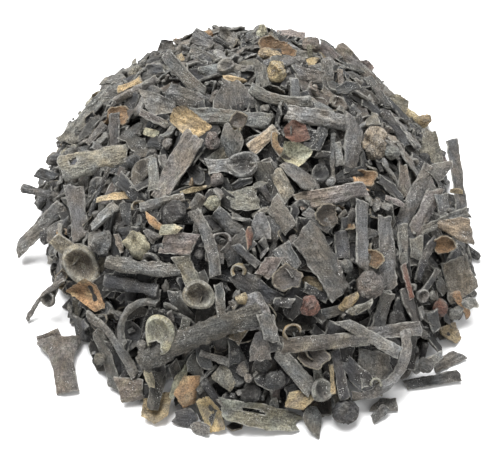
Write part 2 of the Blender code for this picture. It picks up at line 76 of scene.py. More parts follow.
CAMERA_RIGHT = np.array([1.0, 0.0, 0.0])
CAMERA_AHEAD = np.array([0.0, math.cos(VIEW_TILT), -math.sin(VIEW_TILT)])
CAMERA_UP = np.array([0.0, math.sin(VIEW_TILT), math.cos(VIEW_TILT)])
CAMERA_PLACE = AXIS - AXIS_ACROSS * CAMERA_RIGHT - VIEW_DISTANCE * CAMERA_AHEAD


def sight_line(pixel):
    """The way from the camera through a pixel, for each millimetre of depth."""
    across = (pixel[0] - PICTURE_SIZE[0] / 2) / FOCAL_PIXELS
    rise = (PICTURE_SIZE[1] / 2 - pixel[1]) / FOCAL_PIXELS
    return CAMERA_AHEAD + across * CAMERA_RIGHT + rise * CAMERA_UP


def pixels_of(points):
    """The row and column of the pixel where each point shows, and its depth in the view."""
    way = points - CAMERA_PLACE
    depth = way @ CAMERA_AHEAD
    across = PICTURE_SIZE[0] / 2 + FOCAL_PIXELS * (way @ CAMERA_RIGHT) / depth
    down = PICTURE_SIZE[1] / 2 - FOCAL_PIXELS * (way @ CAMERA_UP) / depth
    column = np.clip(across.astype(int), 0, PICTURE_SIZE[0] - 1)
    row = np.clip(down.astype(int), 0, PICTURE_SIZE[1] - 1)
    return row, column, depth


print("the camera stands at", CAMERA_PLACE.round(1), "mm")

# %% [markdown]
# ## The mound
# A tipped-out heap is a low dome with a ragged foot. The dome is a formula, the same one that
# the solid was made from, so that the pieces here lie where the solid's pieces lie. It is
# longer to the back than to the front, and a little has slid down at the near right.

# %% The height of the mound's surface
HALF_WIDTH = 53.0
DEPTH_FRONT = 54.0
DEPTH_BACK = 70.0
HEIGHT = 38.0
SPILL = 0.10  # how much further out the foot is where a little has slid down
SPILL_TURN = math.radians(-42)
SWELL = 1.1  # the height of its gentle bumps


def spill_share(turn):
    """How far out the foot is in one direction. It is 1 away from the spill."""
    return 1 + SPILL * np.clip(np.cos(turn - SPILL_TURN), 0, 1) ** 4


def foot_share(x, y):
    """How far out a place is: 0 on the axis, and 1 at the foot of the heap."""
    x, y = x - AXIS[0], y - AXIS[1]
    across, away = x / HALF_WIDTH, y / np.where(y < 0, DEPTH_FRONT, DEPTH_BACK)
    return np.hypot(across, away) / spill_share(np.arctan2(away, across))


def place_at(share, turn):
    """The place in one direction from the axis, at a share of the way to the foot."""
    depth = np.where(np.sin(turn) > 0, DEPTH_BACK, DEPTH_FRONT)
    return AXIS[0] + share * np.cos(turn) * HALF_WIDTH, AXIS[1] + share * np.sin(turn) * depth


def mound(x, y):
    """The height of the mound's surface."""
    share = foot_share(x, y)
    x, y = x - AXIS[0], y - AXIS[1]
    swell = SWELL * (np.sin(x / 8 + 1.3) * np.cos(y / 10 - 0.4) + np.sin(y / 7 + x / 19))
    return np.maximum(HEIGHT * (1 - share**2) + swell * np.clip(2 * (1 - share), 0, 1), 0)


top = mound(*AXIS[:2])
print(f"the mound is {top:.1f} mm high on its axis")

# %% [markdown]
# ## The ground map
# Before a piece is laid, it has to be known what it lands on. A full physics run would know,
# at a high price. A map of heights seen from above is enough for a heap: each piece is lifted
# until it just clears the map, and then the map is raised to the piece's own top.

# %% A map of the height of everything that has been laid
CELL = 0.5
REACH = 84.0  # how far the map goes to each side of the middle
COVER_PARTS = 3  # into how many parts the sides of a triangle are cut to mark it on the map


class Ground:
    """The height of what lies on the table, seen from above."""

    def __init__(self):
        cells = round(2 * REACH / CELL)
        self.z = np.zeros((cells, cells))

    def cells(self, values):
        return np.clip(((values + REACH) / CELL).astype(int), 0, len(self.z) - 1)

    def height(self, x, y):
        return self.z[self.cells(y), self.cells(x)]

    def cover(self, points, faces):
        """Raises the map to a solid's top, by points spread over its triangles."""
        spread = spread_over(points, faces, COVER_PARTS)
        places = self.cells(spread[:, 1]), self.cells(spread[:, 0])
        np.maximum.at(self.z, places, spread[:, 2])


def spread_over(points, faces, parts):
    """Points spread evenly over triangles whose sides are cut into parts."""
    steps = [(i, j, parts - i - j) for i in range(parts + 1) for j in range(parts + 1 - i)]
    shares = np.array(steps) / parts
    return np.einsum("sk,fkc->sfc", shares, points[faces]).reshape(-1, 3)


ground = Ground()
print(f"the map has {ground.z.size} cells of {CELL} mm")

# %% [markdown]
# ## Randomness that comes back the same
# Food is uneven, so nearly every number below gets a random share. Generators with a fixed seed
# make the same heap each time. A ripple, a sum of a few sine waves with random
# directions, gives the buckles, wrinkles and torn edges that a plain random number can't,
# because neighbours stay alike.

# %% The lot and the ripple
SEED = 19
lot = np.random.default_rng(SEED)


def ripple(x, y, long_wave, cross_wave, waves=3):
    """A smooth random relief over a plane, of about one in size."""
    total = np.zeros(np.broadcast(x, y).shape)
    for _ in range(waves):
        per_x, per_y = lot.uniform(0.6, 1.3, 2) * lot.choice([-1, 1], 2)
        phase = per_x * x / long_wave + per_y * y / cross_wave + lot.uniform()
        total = total + np.sin(2 * math.pi * phase)
    return total / waves


# %% [markdown]
# ## A sheet with two faces and an edge
# Nearly all of the heap is thin dried skin, 0.3 to 1.2 mm thick. Blender's Solidify modifier
# can thicken a sheet, but the pieces here are joined by the hundred, and each needs to know
# where its cut edge is so that the edge can be paler, partly as wear and partly as a painted
# highlight. So the two faces and the wall between them are built together: wherever a cell of
# the grid has no neighbour there is an edge, be it the rim, a hole or a slit.

# %% Closing a sheet
Form = namedtuple("Form", "points faces edge inside grain")


def closed_sheet(upper, lower, grain, kept=None):
    """A thin solid between two grids of points. Cells that aren't kept are left open."""
    rows, columns = upper.shape[:2]
    index = np.arange(rows * columns).reshape(rows, columns)
    cells = np.stack([index[:-1, :-1], index[1:, :-1], index[1:, 1:], index[:-1, 1:]], -1)
    cells = cells.reshape(-1, 4) if kept is None else cells[kept]
    size = rows * columns
    start = cells.ravel()
    end = np.roll(cells, -1, 1).ravel()
    alone = ~np.isin(end * size + start, start * size + end)
    start, end = start[alone], end[alone]
    top = np.vstack([cells[:, [0, 1, 2]], cells[:, [0, 2, 3]]])
    wall = np.vstack(
        [
            np.stack([start, start + size, end + size], -1),
            np.stack([start, end + size, end], -1),
        ]
    )
    faces = np.vstack([top, top[:, ::-1] + size, wall])
    points = np.vstack([upper.reshape(-1, 3), lower.reshape(-1, 3)])
    edge = np.zeros(2 * size)
    edge[np.concatenate([start, start + size])] = 1
    inside = np.repeat([1.0, 0.0], size)
    grain = np.vstack([grain.reshape(-1, 3), grain.reshape(-1, 3) + [0, 0, 3]])
    used, faces = np.unique(faces, return_inverse=True)
    faces = faces.reshape(-1, 3)
    return Form(points[used], faces, edge[used], inside[used], grain[used])


def together(parts):
    """Several forms as one. The faces of each count on from the points before it."""
    starts = np.cumsum([0] + [len(part.points) for part in parts])
    fields = {
        name: np.concatenate([getattr(part, name) for part in parts]) for name in parts[0]._fields
    }
    fields["faces"] = np.vstack([part.faces + start for part, start in zip(parts, starts)])
    return type(parts[0])(**fields)


# %% [markdown]
# ## A strip of frond
# The fronds are flat ribbons with a midrib, and dry stiff with buckled faces and slanting cut
# ends. A strip is a grid of rows along it and columns across it. The rows follow a curved
# line, which can arch, turn sideways and twist. The outline gives each row its width, the two
# ends are slanted and torn a little, and the face gets its buckles, wrinkles and midrib as
# real relief.

# %% The curved line that a strip follows
FROND = 0.85  # the thickness of a frond
SKIN = 0.5  # and of the thinner skins
ROUNDING = 0.28  # how far in from its edge a strip has its whole thickness

# bend arches a piece and sweep turns it in its own plane, in radians over its length. twist
# winds it, cup lifts its long edges, in widths, pitch is the spacing of its points, and
# opening is an oval cut through it: its middle along and across, and its two half sizes.
Shape = namedtuple(
    "Shape", "bend sweep twist cup pitch opening", defaults=(0, 0, 0, 0, 0.8, None)
)


def spine(t, length, shape):
    """Points along a curved strip, and its directions along, across and out of its face."""
    pitch, heading = -shape.bend * (t - 0.5), -shape.sweep * (t - 0.5)
    flat = np.zeros_like(t)
    along = np.stack(
        [np.cos(pitch) * np.cos(heading), np.cos(pitch) * np.sin(heading), np.sin(pitch)], 1
    )
    across = np.stack([-np.sin(heading), np.cos(heading), flat], 1)
    out = np.cross(along, across)
    turn = (shape.twist * (t - 0.5))[:, None]
    across, out = (
        across * np.cos(turn) + out * np.sin(turn),
        out * np.cos(turn) - across * np.sin(turn),
    )
    strides = (along[1:] + along[:-1]) / 2 * (np.diff(t) * length)[:, None]
    points = np.vstack([np.zeros(3), np.cumsum(strides, 0)])
    return points - (points[0] + points[-1]) / 2, along, across, out


def bordered(size, pitch, least):
    """Shares from 0 to 1 for a grid that is finer right at its two edges."""
    steps = max(least, round(size / pitch))
    border = min(ROUNDING / size, 0.2)
    return np.concatenate([[0], np.linspace(border, 1 - border, steps + 1), [1]])


# %% A strip, with its outline and its relief
def kept_cells(x, y, opening):
    """Which cells of a grid stay when an oval is cut out of it."""
    if not opening:
        return None
    middle_x, middle_y = ((grid[1:, 1:] + grid[:-1, :-1]) / 2 for grid in (x, y))
    away = np.hypot((middle_x - opening[0]) / opening[2], (middle_y - opening[1]) / opening[3])
    return away > 1


EDGES_APART = 50.0  # taken as this far apart, so that the two long edges ripple differently
FRAY = 0.25


def strip(
    length, width, shape, outline, thickness=FROND, rib=0.0, tear=0.25, ragged=0.08, slant=0.38
):
    """A strip of frond. outline(t) is its width along it, and the last three roughen its edges."""
    t = bordered(length, shape.pitch, 3)
    v = 2 * bordered(width, 0.75 * shape.pitch, 2) - 1
    points, along, across, out = spine(t, length, shape)
    at, side = t[:, None] * length, np.where(v < 0, -EDGES_APART, EDGES_APART)[None]
    wander = 1 + ragged * ripple(at, side, 5.0, 37.0, 4)
    wander = wander + FRAY / width * ripple(at, side, 1.9, 37.0, 4)
    y = v * width / 2 * outline(t)[:, None] * wander
    slants = lot.normal(0, slant, 2)
    ends = slants[0] * (1 - t[:, None]) ** 3 + slants[1] * t[:, None] ** 3
    torn = tear * ripple(y, 60 * np.round(t[:, None]), 2.6, 13.0)
    shift = ends * y + torn * np.abs(2 * t[:, None] - 1) ** 8
    x = (t[:, None] - 0.5) * length + shift
    thin = 1 - 0.5 * (np.minimum(t, 1 - t)[:, None] * length < 0.01)
    thin = thin * (1 - 0.3 * v**2 - 0.35 * (np.abs(v) > 0.999))[None]
    buckle = 0.5 * ripple(x, y, 10, 7) * (0.3 + 0.7 * v**2)
    wrinkle = 0.16 * ripple(x, y, 8, 1.7, 4) + 0.17 * ripple(x, y, 2.4, 2.3, 4)
    wrinkle = wrinkle + 0.08 * np.clip(width - 3.5, 0, 3) * ripple(x, y, 2.2, 11, 3)
    folds = width / 2 * lot.normal(0, 0.13, 2)
    z = shape.cup * width / 2 * v**2 + folds[0] * v**3 + folds[1] * np.abs(v) + buckle + wrinkle
    margin = lot.uniform(-0.08, 0.2) * np.exp(-(((np.abs(v) - 0.8) / 0.18) ** 2))
    raised = rib * np.exp(-((y / 0.55) ** 2)) + margin
    base = points[:, None] + across[:, None] * y[..., None] + along[:, None] * shift[..., None]
    upper = base + out[:, None] * (z + raised + thin * thickness / 2)[..., None]
    lower = base + out[:, None] * (z - raised / 2 - thin * thickness / 2)[..., None]
    kept = kept_cells(x, y + 0 * x, shape.opening)
    return closed_sheet(upper, lower, np.stack([x, y, 0 * x], -1), kept)


def outline_through(*widths):
    """An outline that runs smoothly through widths at even steps."""
    places = np.linspace(0, 1, len(widths))
    return lambda t: np.interp(t, places, widths)


# %% [markdown]
# ## The forms
# The heap holds eleven kinds of piece. Each is a function that gives a piece of a length and a
# width in its own frame: it lies along X with its face up. One sculpted piece of each kind
# would repeat itself a hundred times, and the eye finds repeats quickly. A function gives no
# two alike.

# %% Straps, forks, flakes and leaves
def strap(length, width, shape):
    """A cut length of frond, a little wider at one end."""
    taper, waist = lot.uniform(-0.14, 0.14), lot.uniform(-0.08, 0.05)
    outline = outline_through(1 - taper, 1 + waist, 1 + taper)
    rib = lot.choice([0.0, 0.16, 0.3], p=[0.4, 0.35, 0.25])
    return strip(length, width, shape, outline, lot.uniform(0.8, 1.2) * FROND, rib)


def wedge(length, width, shape):
    """A flake that widens from its start to its end, as where a frond forks."""
    outline = outline_through(lot.uniform(0.22, 0.4), 0.62, 0.92, 1.0)
    return strip(length, width, shape, outline, 0.8 * FROND, lot.choice([0, 0.2]), 0.4, 0.1)


def leaf(length, width, shape):
    """A thin flake that narrows to both ends."""
    blunt = lot.uniform(0.4, 0.85, 2)
    outline = outline_through(blunt[0], lot.uniform(0.75, 1), 1.0, lot.uniform(0.7, 1), blunt[1])
    return strip(length, width, shape, outline, SKIN, 0, 0.6, 0.14)


def flared(length, width, shape):
    """A cut from the foot of a fork: broad at its start, then an even strap."""
    outline = outline_through(1.0, 0.93, 0.56, 0.48, 0.46, 0.48, 0.5)
    return strip(length, width, shape, outline, FROND, 0.2, slant=0.08)


def turned(form, turn, shift):
    """A form turned about Z and moved."""
    spin = np.array(
        [[math.cos(turn), math.sin(turn), 0], [-math.sin(turn), math.cos(turn), 0], [0, 0, 1]]
    )
    return form._replace(points=form.points @ spin + shift)


def fork(length, width, shape):
    """The place where a frond forks in two, cut off on all sides."""
    arm = 0.55 * length
    spread = lot.uniform(0.35, 0.6)
    narrow = shape._replace(bend=shape.bend / 2, sweep=0)
    stem = strap(0.62 * length, 0.5 * width, narrow)
    parts = [turned(stem, 0, [-0.22 * length, 0, 0])]
    for side in (-1, 1):
        prong = strap(arm, 0.42 * width, narrow._replace(sweep=side * 0.5))
        middle = [0.2 * length, side * 0.42 * arm * math.sin(spread), 0.08 * side]
        parts.append(turned(prong, side * spread, middle))
    return together(parts)


# %% [markdown]
# A bladder is an air bubble in the frond. As it dries it collapses into a spoon: a round head
# with a raised rim and a sunken, wrinkled middle, on a stretch of strap. A broken bladder
# leaves a thin torn cup. Both are round, and a grid of points is square, so the grid is pulled
# round: each point keeps its ring, and the rings of squares become rings of circles.

# %% Collapsed bladders
def round_grid(steps):
    """A square grid pulled round: each point's turn, and its share of the radius."""
    line = np.sin(np.linspace(-1, 1, steps + 1) * math.pi / 2)
    u, v = np.meshgrid(line, line, indexing="ij")
    return np.arctan2(v, u), np.maximum(np.abs(u), np.abs(v))


def bladder_head(width, shape, hollow):
    """The round head of a collapsed bladder."""
    radius = width / 2
    turn, out = round_grid(max(8, round(width / shape.pitch) * 2))
    outline = radius * (1 + 0.08 * np.sin(2 * turn + lot.uniform(0, 6)))
    outline = outline * (1 + 0.04 * np.sin(3 * turn + lot.uniform(0, 6)))
    long_way = lot.uniform(1.05, 1.3)
    x, y = long_way * out * outline * np.cos(turn), out * outline * np.sin(turn)
    uneven = 1 + 0.45 * ripple(3 * np.cos(turn), 3 * np.sin(turn), 5, 5)
    rim = uneven * np.exp(-(((out - 0.78 + 0.05 * ripple(x, y, 6, 6)) / 0.15) ** 2))
    sunk = np.clip(1 - (out / 0.74) ** 2, 0, 1)
    rings = 0.07 * np.sin(out * 15 + 3 * ripple(x, y, 5, 5)) * (out < 0.75)
    face = 0.24 * radius * rim - hollow * radius * sunk + rings
    face = face + 0.09 * ripple(x, y, 2.2, 2.2, 4) + 0.2 * ripple(x, y, 9, 9)
    half = 0.5 * FROND * np.where(out > 0.99, 0.35, 1.0)
    sag = shape.cup * radius * out**2
    grain = np.stack([x, y, 0 * x], -1)
    upper = np.stack([x, y, face + sag + half], -1)
    lower = np.stack([x, y, sag - half - 0.1 * radius * (1 - out**2)], -1)
    head = closed_sheet(upper, lower, grain, kept_cells(x, y, shape.opening))
    from_middle = np.hypot(head.grain[:, 0] / long_way, head.grain[:, 1]) / radius
    # The raised rim gets a ring of the pale edge mark: partly wear, partly a painted highlight on
    # the ridge.
    wear_and_highlight = np.exp(-(((from_middle - 0.82) / 0.1) ** 2))
    return head._replace(
        edge=np.maximum(head.edge, 0.5 * wear_and_highlight * head.inside),
        inside=head.inside * np.clip(2.4 - 3 * from_middle, 0, 1),
    )


def pod(length, width, shape):
    """A collapsed bladder on its strap. Its head is at its start."""
    head = bladder_head(width, shape, max(lot.uniform(0.12, 0.32), 0.04 * width))
    tail = length - width / 2
    if tail < 0.2 * width:
        return turned(head, 0, [-length / 2, 0, 0])
    outline = outline_through(1.25, 0.9, lot.uniform(0.8, 1.1))
    stalk = strip(
        tail + 0.3 * width, 0.56 * width, shape._replace(cup=0), outline, 0.8 * FROND, 0.2
    )
    middle = [(length - tail - 0.3 * width) / 2, 0, -0.15]
    stalk = stalk._replace(inside=0 * stalk.inside)
    return together([turned(head, 0, [-length / 2, 0, 0]), turned(stalk, 0, middle)])


# %% Broken shells and torn scraps
def cornered(turn, count):
    """How far out the rim of a scrap is, with straight sides between uneven corners."""
    corners = 2 * math.pi * (np.arange(count) + lot.uniform(0.1, 0.9, count)) / count - math.pi
    radii = lot.uniform(0.85, 1.3, count)
    after = np.searchsorted(corners, turn) % count
    before = (after - 1) % count
    side = (corners[after] - corners[before]) % (2 * math.pi)
    way = (turn - corners[before]) % (2 * math.pi)
    return np.sin(side) / (np.sin(side - way) / radii[before] + np.sin(way) / radii[after])


def shell(length, width, shape):
    """Half of a broken bladder: a thin torn cup, its mouth up."""
    radius = width / 2
    turn, out = round_grid(max(8, round(width / shape.pitch) * 2))
    torn = 0.82 * cornered(turn, 7) + 0.15 * np.sin(turn + lot.uniform(0, 6))
    torn = torn + 0.06 * ripple(9 * np.cos(turn), 9 * np.sin(turn), 3, 3)
    tilt = out * np.clip(torn * math.radians(74), 0.2, 1.9)
    long_way = max(length, width) / width * lot.uniform(1.0, 1.3)
    crumple = 1 + 0.16 * ripple(4 * np.cos(turn) * tilt, 4 * np.sin(turn) * tilt, 7, 7, 4)
    crumple = crumple + 0.04 * ripple(4 * np.cos(turn) * tilt, 4 * np.sin(turn) * tilt, 2, 2, 4)
    x = radius * long_way * np.sin(tilt) * np.cos(turn) * crumple
    y = radius * np.sin(tilt) * np.sin(turn) * crumple
    z = -lot.uniform(0.65, 1.0) * radius * np.cos(tilt) * crumple
    crease = lot.uniform(0, math.pi)
    z = z + lot.uniform(-0.1, 0.4) * np.abs(x * math.cos(crease) + y * math.sin(crease))
    outer = np.stack([x, y, z], -1)
    inner = outer * (1 - lot.uniform(0.28, 0.4) / radius)
    return closed_sheet(inner, outer, outer)


def shard(length, width, shape):
    """A torn scrap of a bladder's skin, with a few corners, folds and a curled rim."""
    size = math.sqrt(length * width)
    turn, out = round_grid(max(12, round(1.6 * size / shape.pitch)))
    rim = cornered(turn, lot.choice([5, 6]))
    rim = rim + 0.05 * ripple(9 * np.cos(turn), 9 * np.sin(turn), 3, 3)
    x = length / 2 * out * rim * np.cos(turn)
    y = width / 2 * out * rim * np.sin(turn)
    rim_curl = size * lot.uniform(-0.1, 0.22) * out**4 * np.sin(turn + lot.uniform(0, 6))
    z = 0.3 * ripple(x, y, 4, 4, 4) + 0.14 * ripple(x, y, 1.7, 1.7, 4) + rim_curl
    for _ in range(2):
        way = lot.uniform(0, math.pi)
        across_fold = x * math.cos(way) + y * math.sin(way) - size * lot.uniform(-0.2, 0.2)
        z = z + lot.uniform(-0.35, 0.45) * np.abs(across_fold)
    z = z + shape.cup * size / 2 * out**2
    thick = SKIN * (1 - 0.4 * out**4)
    grain = np.stack([x, y, 0 * x], -1)
    upper = np.stack([x, y, z + thick / 2], -1)
    lower = np.stack([x, y, z - thick / 2], -1)
    return closed_sheet(upper, lower, grain, kept_cells(x, y, shape.opening))


# %% [markdown]
# Stalks are the tough round stems: tubes with a bark of knobs and wrinkles. The swollen tips
# carry warts. Both are rings of points around a line, and only their radii differ, so one
# function closes the tube for both. A curl is only a strip again, bent nearly into a ring.

# %% Closing a tube
def ring_faces(rows, sides):
    """The triangles between rings of points, and those that close the two end rings."""
    index = np.arange(rows * sides).reshape(rows, sides)
    after = np.roll(index, -1, 1)
    a, b, c, d = index[:-1], after[:-1], after[1:], index[1:]
    walls = np.concatenate([np.stack([a, b, c], -1), np.stack([a, c, d], -1)]).reshape(-1, 3)
    fan = np.arange(1, sides - 1)
    first = np.stack([0 * fan, fan + 1, fan], -1)
    last = first[:, [0, 2, 1]] + (rows - 1) * sides
    return np.vstack([walls, first, last])


def tube(points, across, out, radii, flatness, grain_step):
    """A closed tube around a line of points. radii has a row for each of them."""
    rows, sides = radii.shape
    turn = np.linspace(0, 2 * math.pi, sides, endpoint=False)
    rim = np.cos(turn)[:, None] * across[:, None] + (
        flatness * np.sin(turn)[:, None] * out[:, None]
    )
    body = points[:, None] + radii[..., None] * rim
    edge = np.zeros((rows, sides))
    edge[[0, -1]] = 1
    long_way = np.arange(rows)[:, None] * grain_step + 0 * radii
    grain = np.stack([long_way, radii * np.cos(turn), radii * np.sin(turn)], -1)
    return Form(
        body.reshape(-1, 3),
        ring_faces(rows, sides),
        edge.ravel(),
        0 * edge.ravel(),
        grain.reshape(-1, 3),
    )


# %% Stalks, swollen tips and curls
def rod(length, width, shape):
    """A stalk, rough and unevenly round."""
    steps = max(4, round(length / shape.pitch))
    sides = 18 if width > 2.5 else 9
    t = np.linspace(0, 1, steps + 1)
    points, _, across, out = spine(t, length, shape)
    x = t[:, None] * length
    turn = np.linspace(0, 2 * math.pi, sides, endpoint=False)[None]
    around = width / 2 * np.sin(turn)
    knobs = 1 + 0.2 * ripple(x, around, 6, 3) + 0.16 * ripple(x, 2 * around, 1.8, 1.9, 4)
    knobs = knobs * (1 + 0.10 * np.cos(3 * turn + lot.uniform(0, 6)))
    return tube(points, across, out, width / 2 * knobs, 0.8, length / steps)


def lump(length, width, shape):
    """A swollen tip with warts, or a crumpled bladder."""
    size = max(length, width)
    steps, sides = max(8, round(size / shape.pitch * 1.5)), 18
    t = np.linspace(0.04, 0.96, steps + 1)
    points = np.stack([(t - 0.5) * size, 0 * t, 0 * t], 1)
    across = np.tile([0.0, 1.0, 0.0], (steps + 1, 1))
    out = np.tile([0.0, 0.0, 1.0], (steps + 1, 1))
    turn = np.linspace(0, 2 * math.pi, sides, endpoint=False)[None]
    full = np.sqrt(1 - (2 * t - 1) ** 2)[:, None] ** 0.8
    x, around = (t * size)[:, None], width / 2 * turn
    warts = 0.2 * ripple(x, around, 1.5, 1.5, 5) + 0.3 * ripple(x, around, 4, 5)
    form = tube(points, across, out, width / 2 * full * (1 + warts), 0.8, size / steps)
    # The tops of the warts get the pale edge mark, partly wear and partly a painted highlight.
    return form._replace(edge=0.5 * np.clip(warts / 0.15, 0, 1).ravel())


def curl(length, width, shape):
    """A thin strap that dried nearly into a ring, standing on its edge."""
    turn = lot.uniform(3.3, 5.0)
    outline = outline_through(*lot.uniform(0.6, 1.1, 4))
    ring = strip(turn * width / 2, 0.45 * width, shape._replace(bend=turn), outline, SKIN)
    points = (ring.points - ring.points.mean(0))[:, [0, 2, 1]] * [1, lot.uniform(0.55, 0.9), -1]
    return ring._replace(points=points)


# %% All the forms by name, and one as a trial
FORMS = {
    form.__name__: form
    for form in (strap, flared, shard, fork, wedge, leaf, pod, shell, rod, lump, curl)
}
trial = strap(14.0, 4.0, Shape())
print(f"of {len(FORMS)} forms, a strap of 14 mm has {len(trial.faces)} triangles")

# %% [markdown]
# ## The colours
# The heap looks black from afar, and close up it is a dozen greys with a few tan, olive and
# rust-coloured pieces. A material for each grey would do, but then every tone needs its own
# meshes. So the colour goes into a colour attribute, which the material reads, and pieces of
# one kind can stay one mesh. Each tone also names the tone of its patches and, for a bladder,
# the tone of its hollow side.

# %% The tones, as linear red, green and blue
Tone = namedtuple("Tone", "colour hollow patch")
TONES = {
    "slate": Tone(np.array([0.153, 0.152, 0.143]), "coal", "umber"),
    "ash": Tone(np.array([0.212, 0.209, 0.195]), "umber", "slate"),
    "coal": Tone(np.array([0.062, 0.062, 0.063]), "coal", "slate"),
    "umber": Tone(np.array([0.172, 0.156, 0.140]), "umber", "olive"),
    "olive": Tone(np.array([0.222, 0.209, 0.167]), "umber", "slate"),
    "straw": Tone(np.array([0.430, 0.345, 0.205]), "amber", "umber"),
    "amber": Tone(np.array([0.350, 0.225, 0.125]), "amber", "straw"),
    "sorrel": Tone(np.array([0.165, 0.085, 0.064]), "sorrel", "umber"),
    "rose": Tone(np.array([0.190, 0.163, 0.147]), "umber", "slate"),
    "bark": Tone(np.array([0.100, 0.095, 0.088]), "coal", "slate"),
    "fawn": Tone(np.array([0.310, 0.262, 0.205]), "amber", "umber"),
    "pale": Tone(np.array([0.385, 0.372, 0.275]), "olive", "olive"),
}
SKIN_TONES = ("straw", "amber", "pale", "sorrel")  # the tones of bladder skins
print("the tones are", ", ".join(TONES))

# %% The colour of each point of a piece
PATCH_STRENGTH = 0.75  # how far a patch goes towards its own tone
HOLLOW_SHADE = 0.65  # the hollow side is this much darker
HOLLOW_SHARES = {"shell": 1.0, "pod": 0.75}  # which kinds have a hollow, and how clear it is


def colours_of(form, kind, tone_name):
    """The colour of every point of a piece: its tone, patches of a second, and its hollow."""
    own = TONES[tone_name]
    colour = own.colour * lot.lognormal(0, 0.17) * lot.normal(1, 0.012, 3)
    across = form.grain[:, 1] + form.grain[:, 2]
    patch = np.clip(1.2 * ripple(form.grain[:, 0], across, 6, 4, 4), 0, 1)[:, None]
    colours = colour + PATCH_STRENGTH * patch * (TONES[own.patch].colour - colour)
    if kind in HOLLOW_SHARES:
        hollow = TONES[own.hollow].colour * HOLLOW_SHADE * lot.lognormal(0, 0.2)
        share = form.inside[:, None] * HOLLOW_SHARES[kind]
        colours = colours + share * (hollow - colours)
    return colours


# %% [markdown]
# ## Laying a piece
# Dry pieces don't lie flat on the slope: they prop each other up. A piece follows the average
# slope under it, is tipped by some random share, and is then lifted until nearly all of it
# clears the map. The few corners that stay sunk stand for the way the pieces catch in each
# other. Some are stuck in steeply.

# %% Directions and lifting
def unit(vector):
    """A direction of length one."""
    return vector / np.linalg.norm(vector)


def frame_of(along, out):
    """The directions along, across and out of a piece, as a matrix."""
    along = unit(along)
    out = unit(out - (out @ along) * along)
    return np.stack([along, np.cross(out, along), out])


def slope_under(middle, heading, length, width):
    """The direction that the heap's surface faces under a piece."""
    u, v = np.meshgrid(np.linspace(-0.45, 0.45, 7) * length, np.linspace(-0.5, 0.5, 4) * width)
    dx = (u * math.cos(heading) - v * math.sin(heading)).ravel()
    dy = (u * math.sin(heading) + v * math.cos(heading)).ravel()
    heights = ground.height(middle[0] + dx, middle[1] + dy)
    fit = np.stack([dx, dy, np.ones_like(dx)], 1)
    slope_x, slope_y, _ = np.linalg.lstsq(fit, heights, rcond=None)[0]
    return unit(np.array([-slope_x, -slope_y, 1]))


def sunk_depth(points, clear_share):
    """How far to lift a piece until this share of its points is clear of what lies below."""
    depths = ground.height(points[:, 0], points[:, 1]) - points[:, 2]
    return np.quantile(depths, clear_share)


def off_the_table(points):
    """Lifts a piece that would reach into the table."""
    return points + [0, 0, max(0.05 - points[:, 2].min(), 0)]


# %% Keeping a piece that is laid
Laid = namedtuple("Laid", "points faces colours edge grain")
laid = defaultdict(list)  # the pieces that are laid, by the name of the mesh they go into
GRAIN_SPREAD = 500  # each piece takes its grain from another place, so that no two match


def keep(mesh_name, form, points, tone_name, kind, dimmed=1.0):
    """Adds a laid piece to its mesh and raises the ground map to it."""
    # dimmed multiplies the colour, a painted shade for pieces that lie deep
    colours = dimmed * colours_of(form, kind, tone_name)
    own_grain = form.grain + lot.uniform(0, GRAIN_SPREAD, 3)
    laid[mesh_name].append(Laid(points, form.faces, colours, form.edge, own_grain))
    ground.cover(points, form.faces)


# %% [markdown]
# ## The core
# A heap this size holds thousands of pieces, and only the outer ones show. Inside is a core that
# stands for the rest, coloured darker than coal as a painted shade. A smooth dome would do where
# no gap is deep. This one has a rough relief of crumbs, so that the deep gaps end in something
# dark and grainy. It lies a few millimetres under the surface and stops well inside the foot, so
# that it never shows, and it takes the place of the solid that the frame holds.

# %% Where the heap stops short of the mound's foot
LEFT_BARE = 0.13  # at the near left, as a share of the mound's size
LEFT_BARE_TURN = math.radians(203)


def bare_share(turn):
    """How much nearer the heap's foot is in one direction, as a share of the mound's size."""
    return LEFT_BARE * np.clip(np.cos(turn - LEFT_BARE_TURN), 0, 1) ** 6


# %% The core, a dome of rings
CORE_DEPTH = 4.6  # how far the core lies under the mound's surface
CORE_EDGE = 0.8  # how high it is at its own foot
CORE_REACH = 0.83  # how far out its foot is, as a share of the mound's size
CORE_KEEPS_OFF = 1.3  # it stays this many times as far off the bare near left as the pieces
CORE_RINGS, CORE_SPOKES = 60, 120


def core_top(x, y):
    """The height of the core's rough top."""
    crumbs = 0.35 * ripple(x, y, 2.1, 2.3, 5) + 0.6 * ripple(x, y, 7, 6, 4)
    return np.maximum(mound(x, y) - CORE_DEPTH + crumbs, CORE_EDGE)


core_turns = np.linspace(0, 2 * math.pi, CORE_SPOKES + 1)
core_shares = np.sqrt(np.linspace(0.0004, 1, CORE_RINGS)) * CORE_REACH
core_share, core_turn = np.meshgrid(core_shares, core_turns[:-1], indexing="ij")
core_foot_share = spill_share(core_turn) - CORE_KEEPS_OFF * bare_share(core_turn)
core_x, core_y = place_at(core_share * core_foot_share, core_turn)
core_z = core_top(core_x, core_y)
core_rows = np.stack([core_x, core_y, core_z], -1)
core_foot = core_rows[-1:] * [1, 1, 0]
core_points = np.vstack([core_rows.reshape(-1, 3), core_foot.reshape(-1, 3)])

# %% The core's triangles
# Its rings run the other way round than a tube's, so each triangle is turned over.
core_faces = ring_faces(CORE_RINGS + 1, CORE_SPOKES)[:, [0, 2, 1]]
ground.cover(core_points, core_faces)
print(f"the core has {len(core_faces)} triangles and is {core_points[:, 2].max():.1f} mm high")
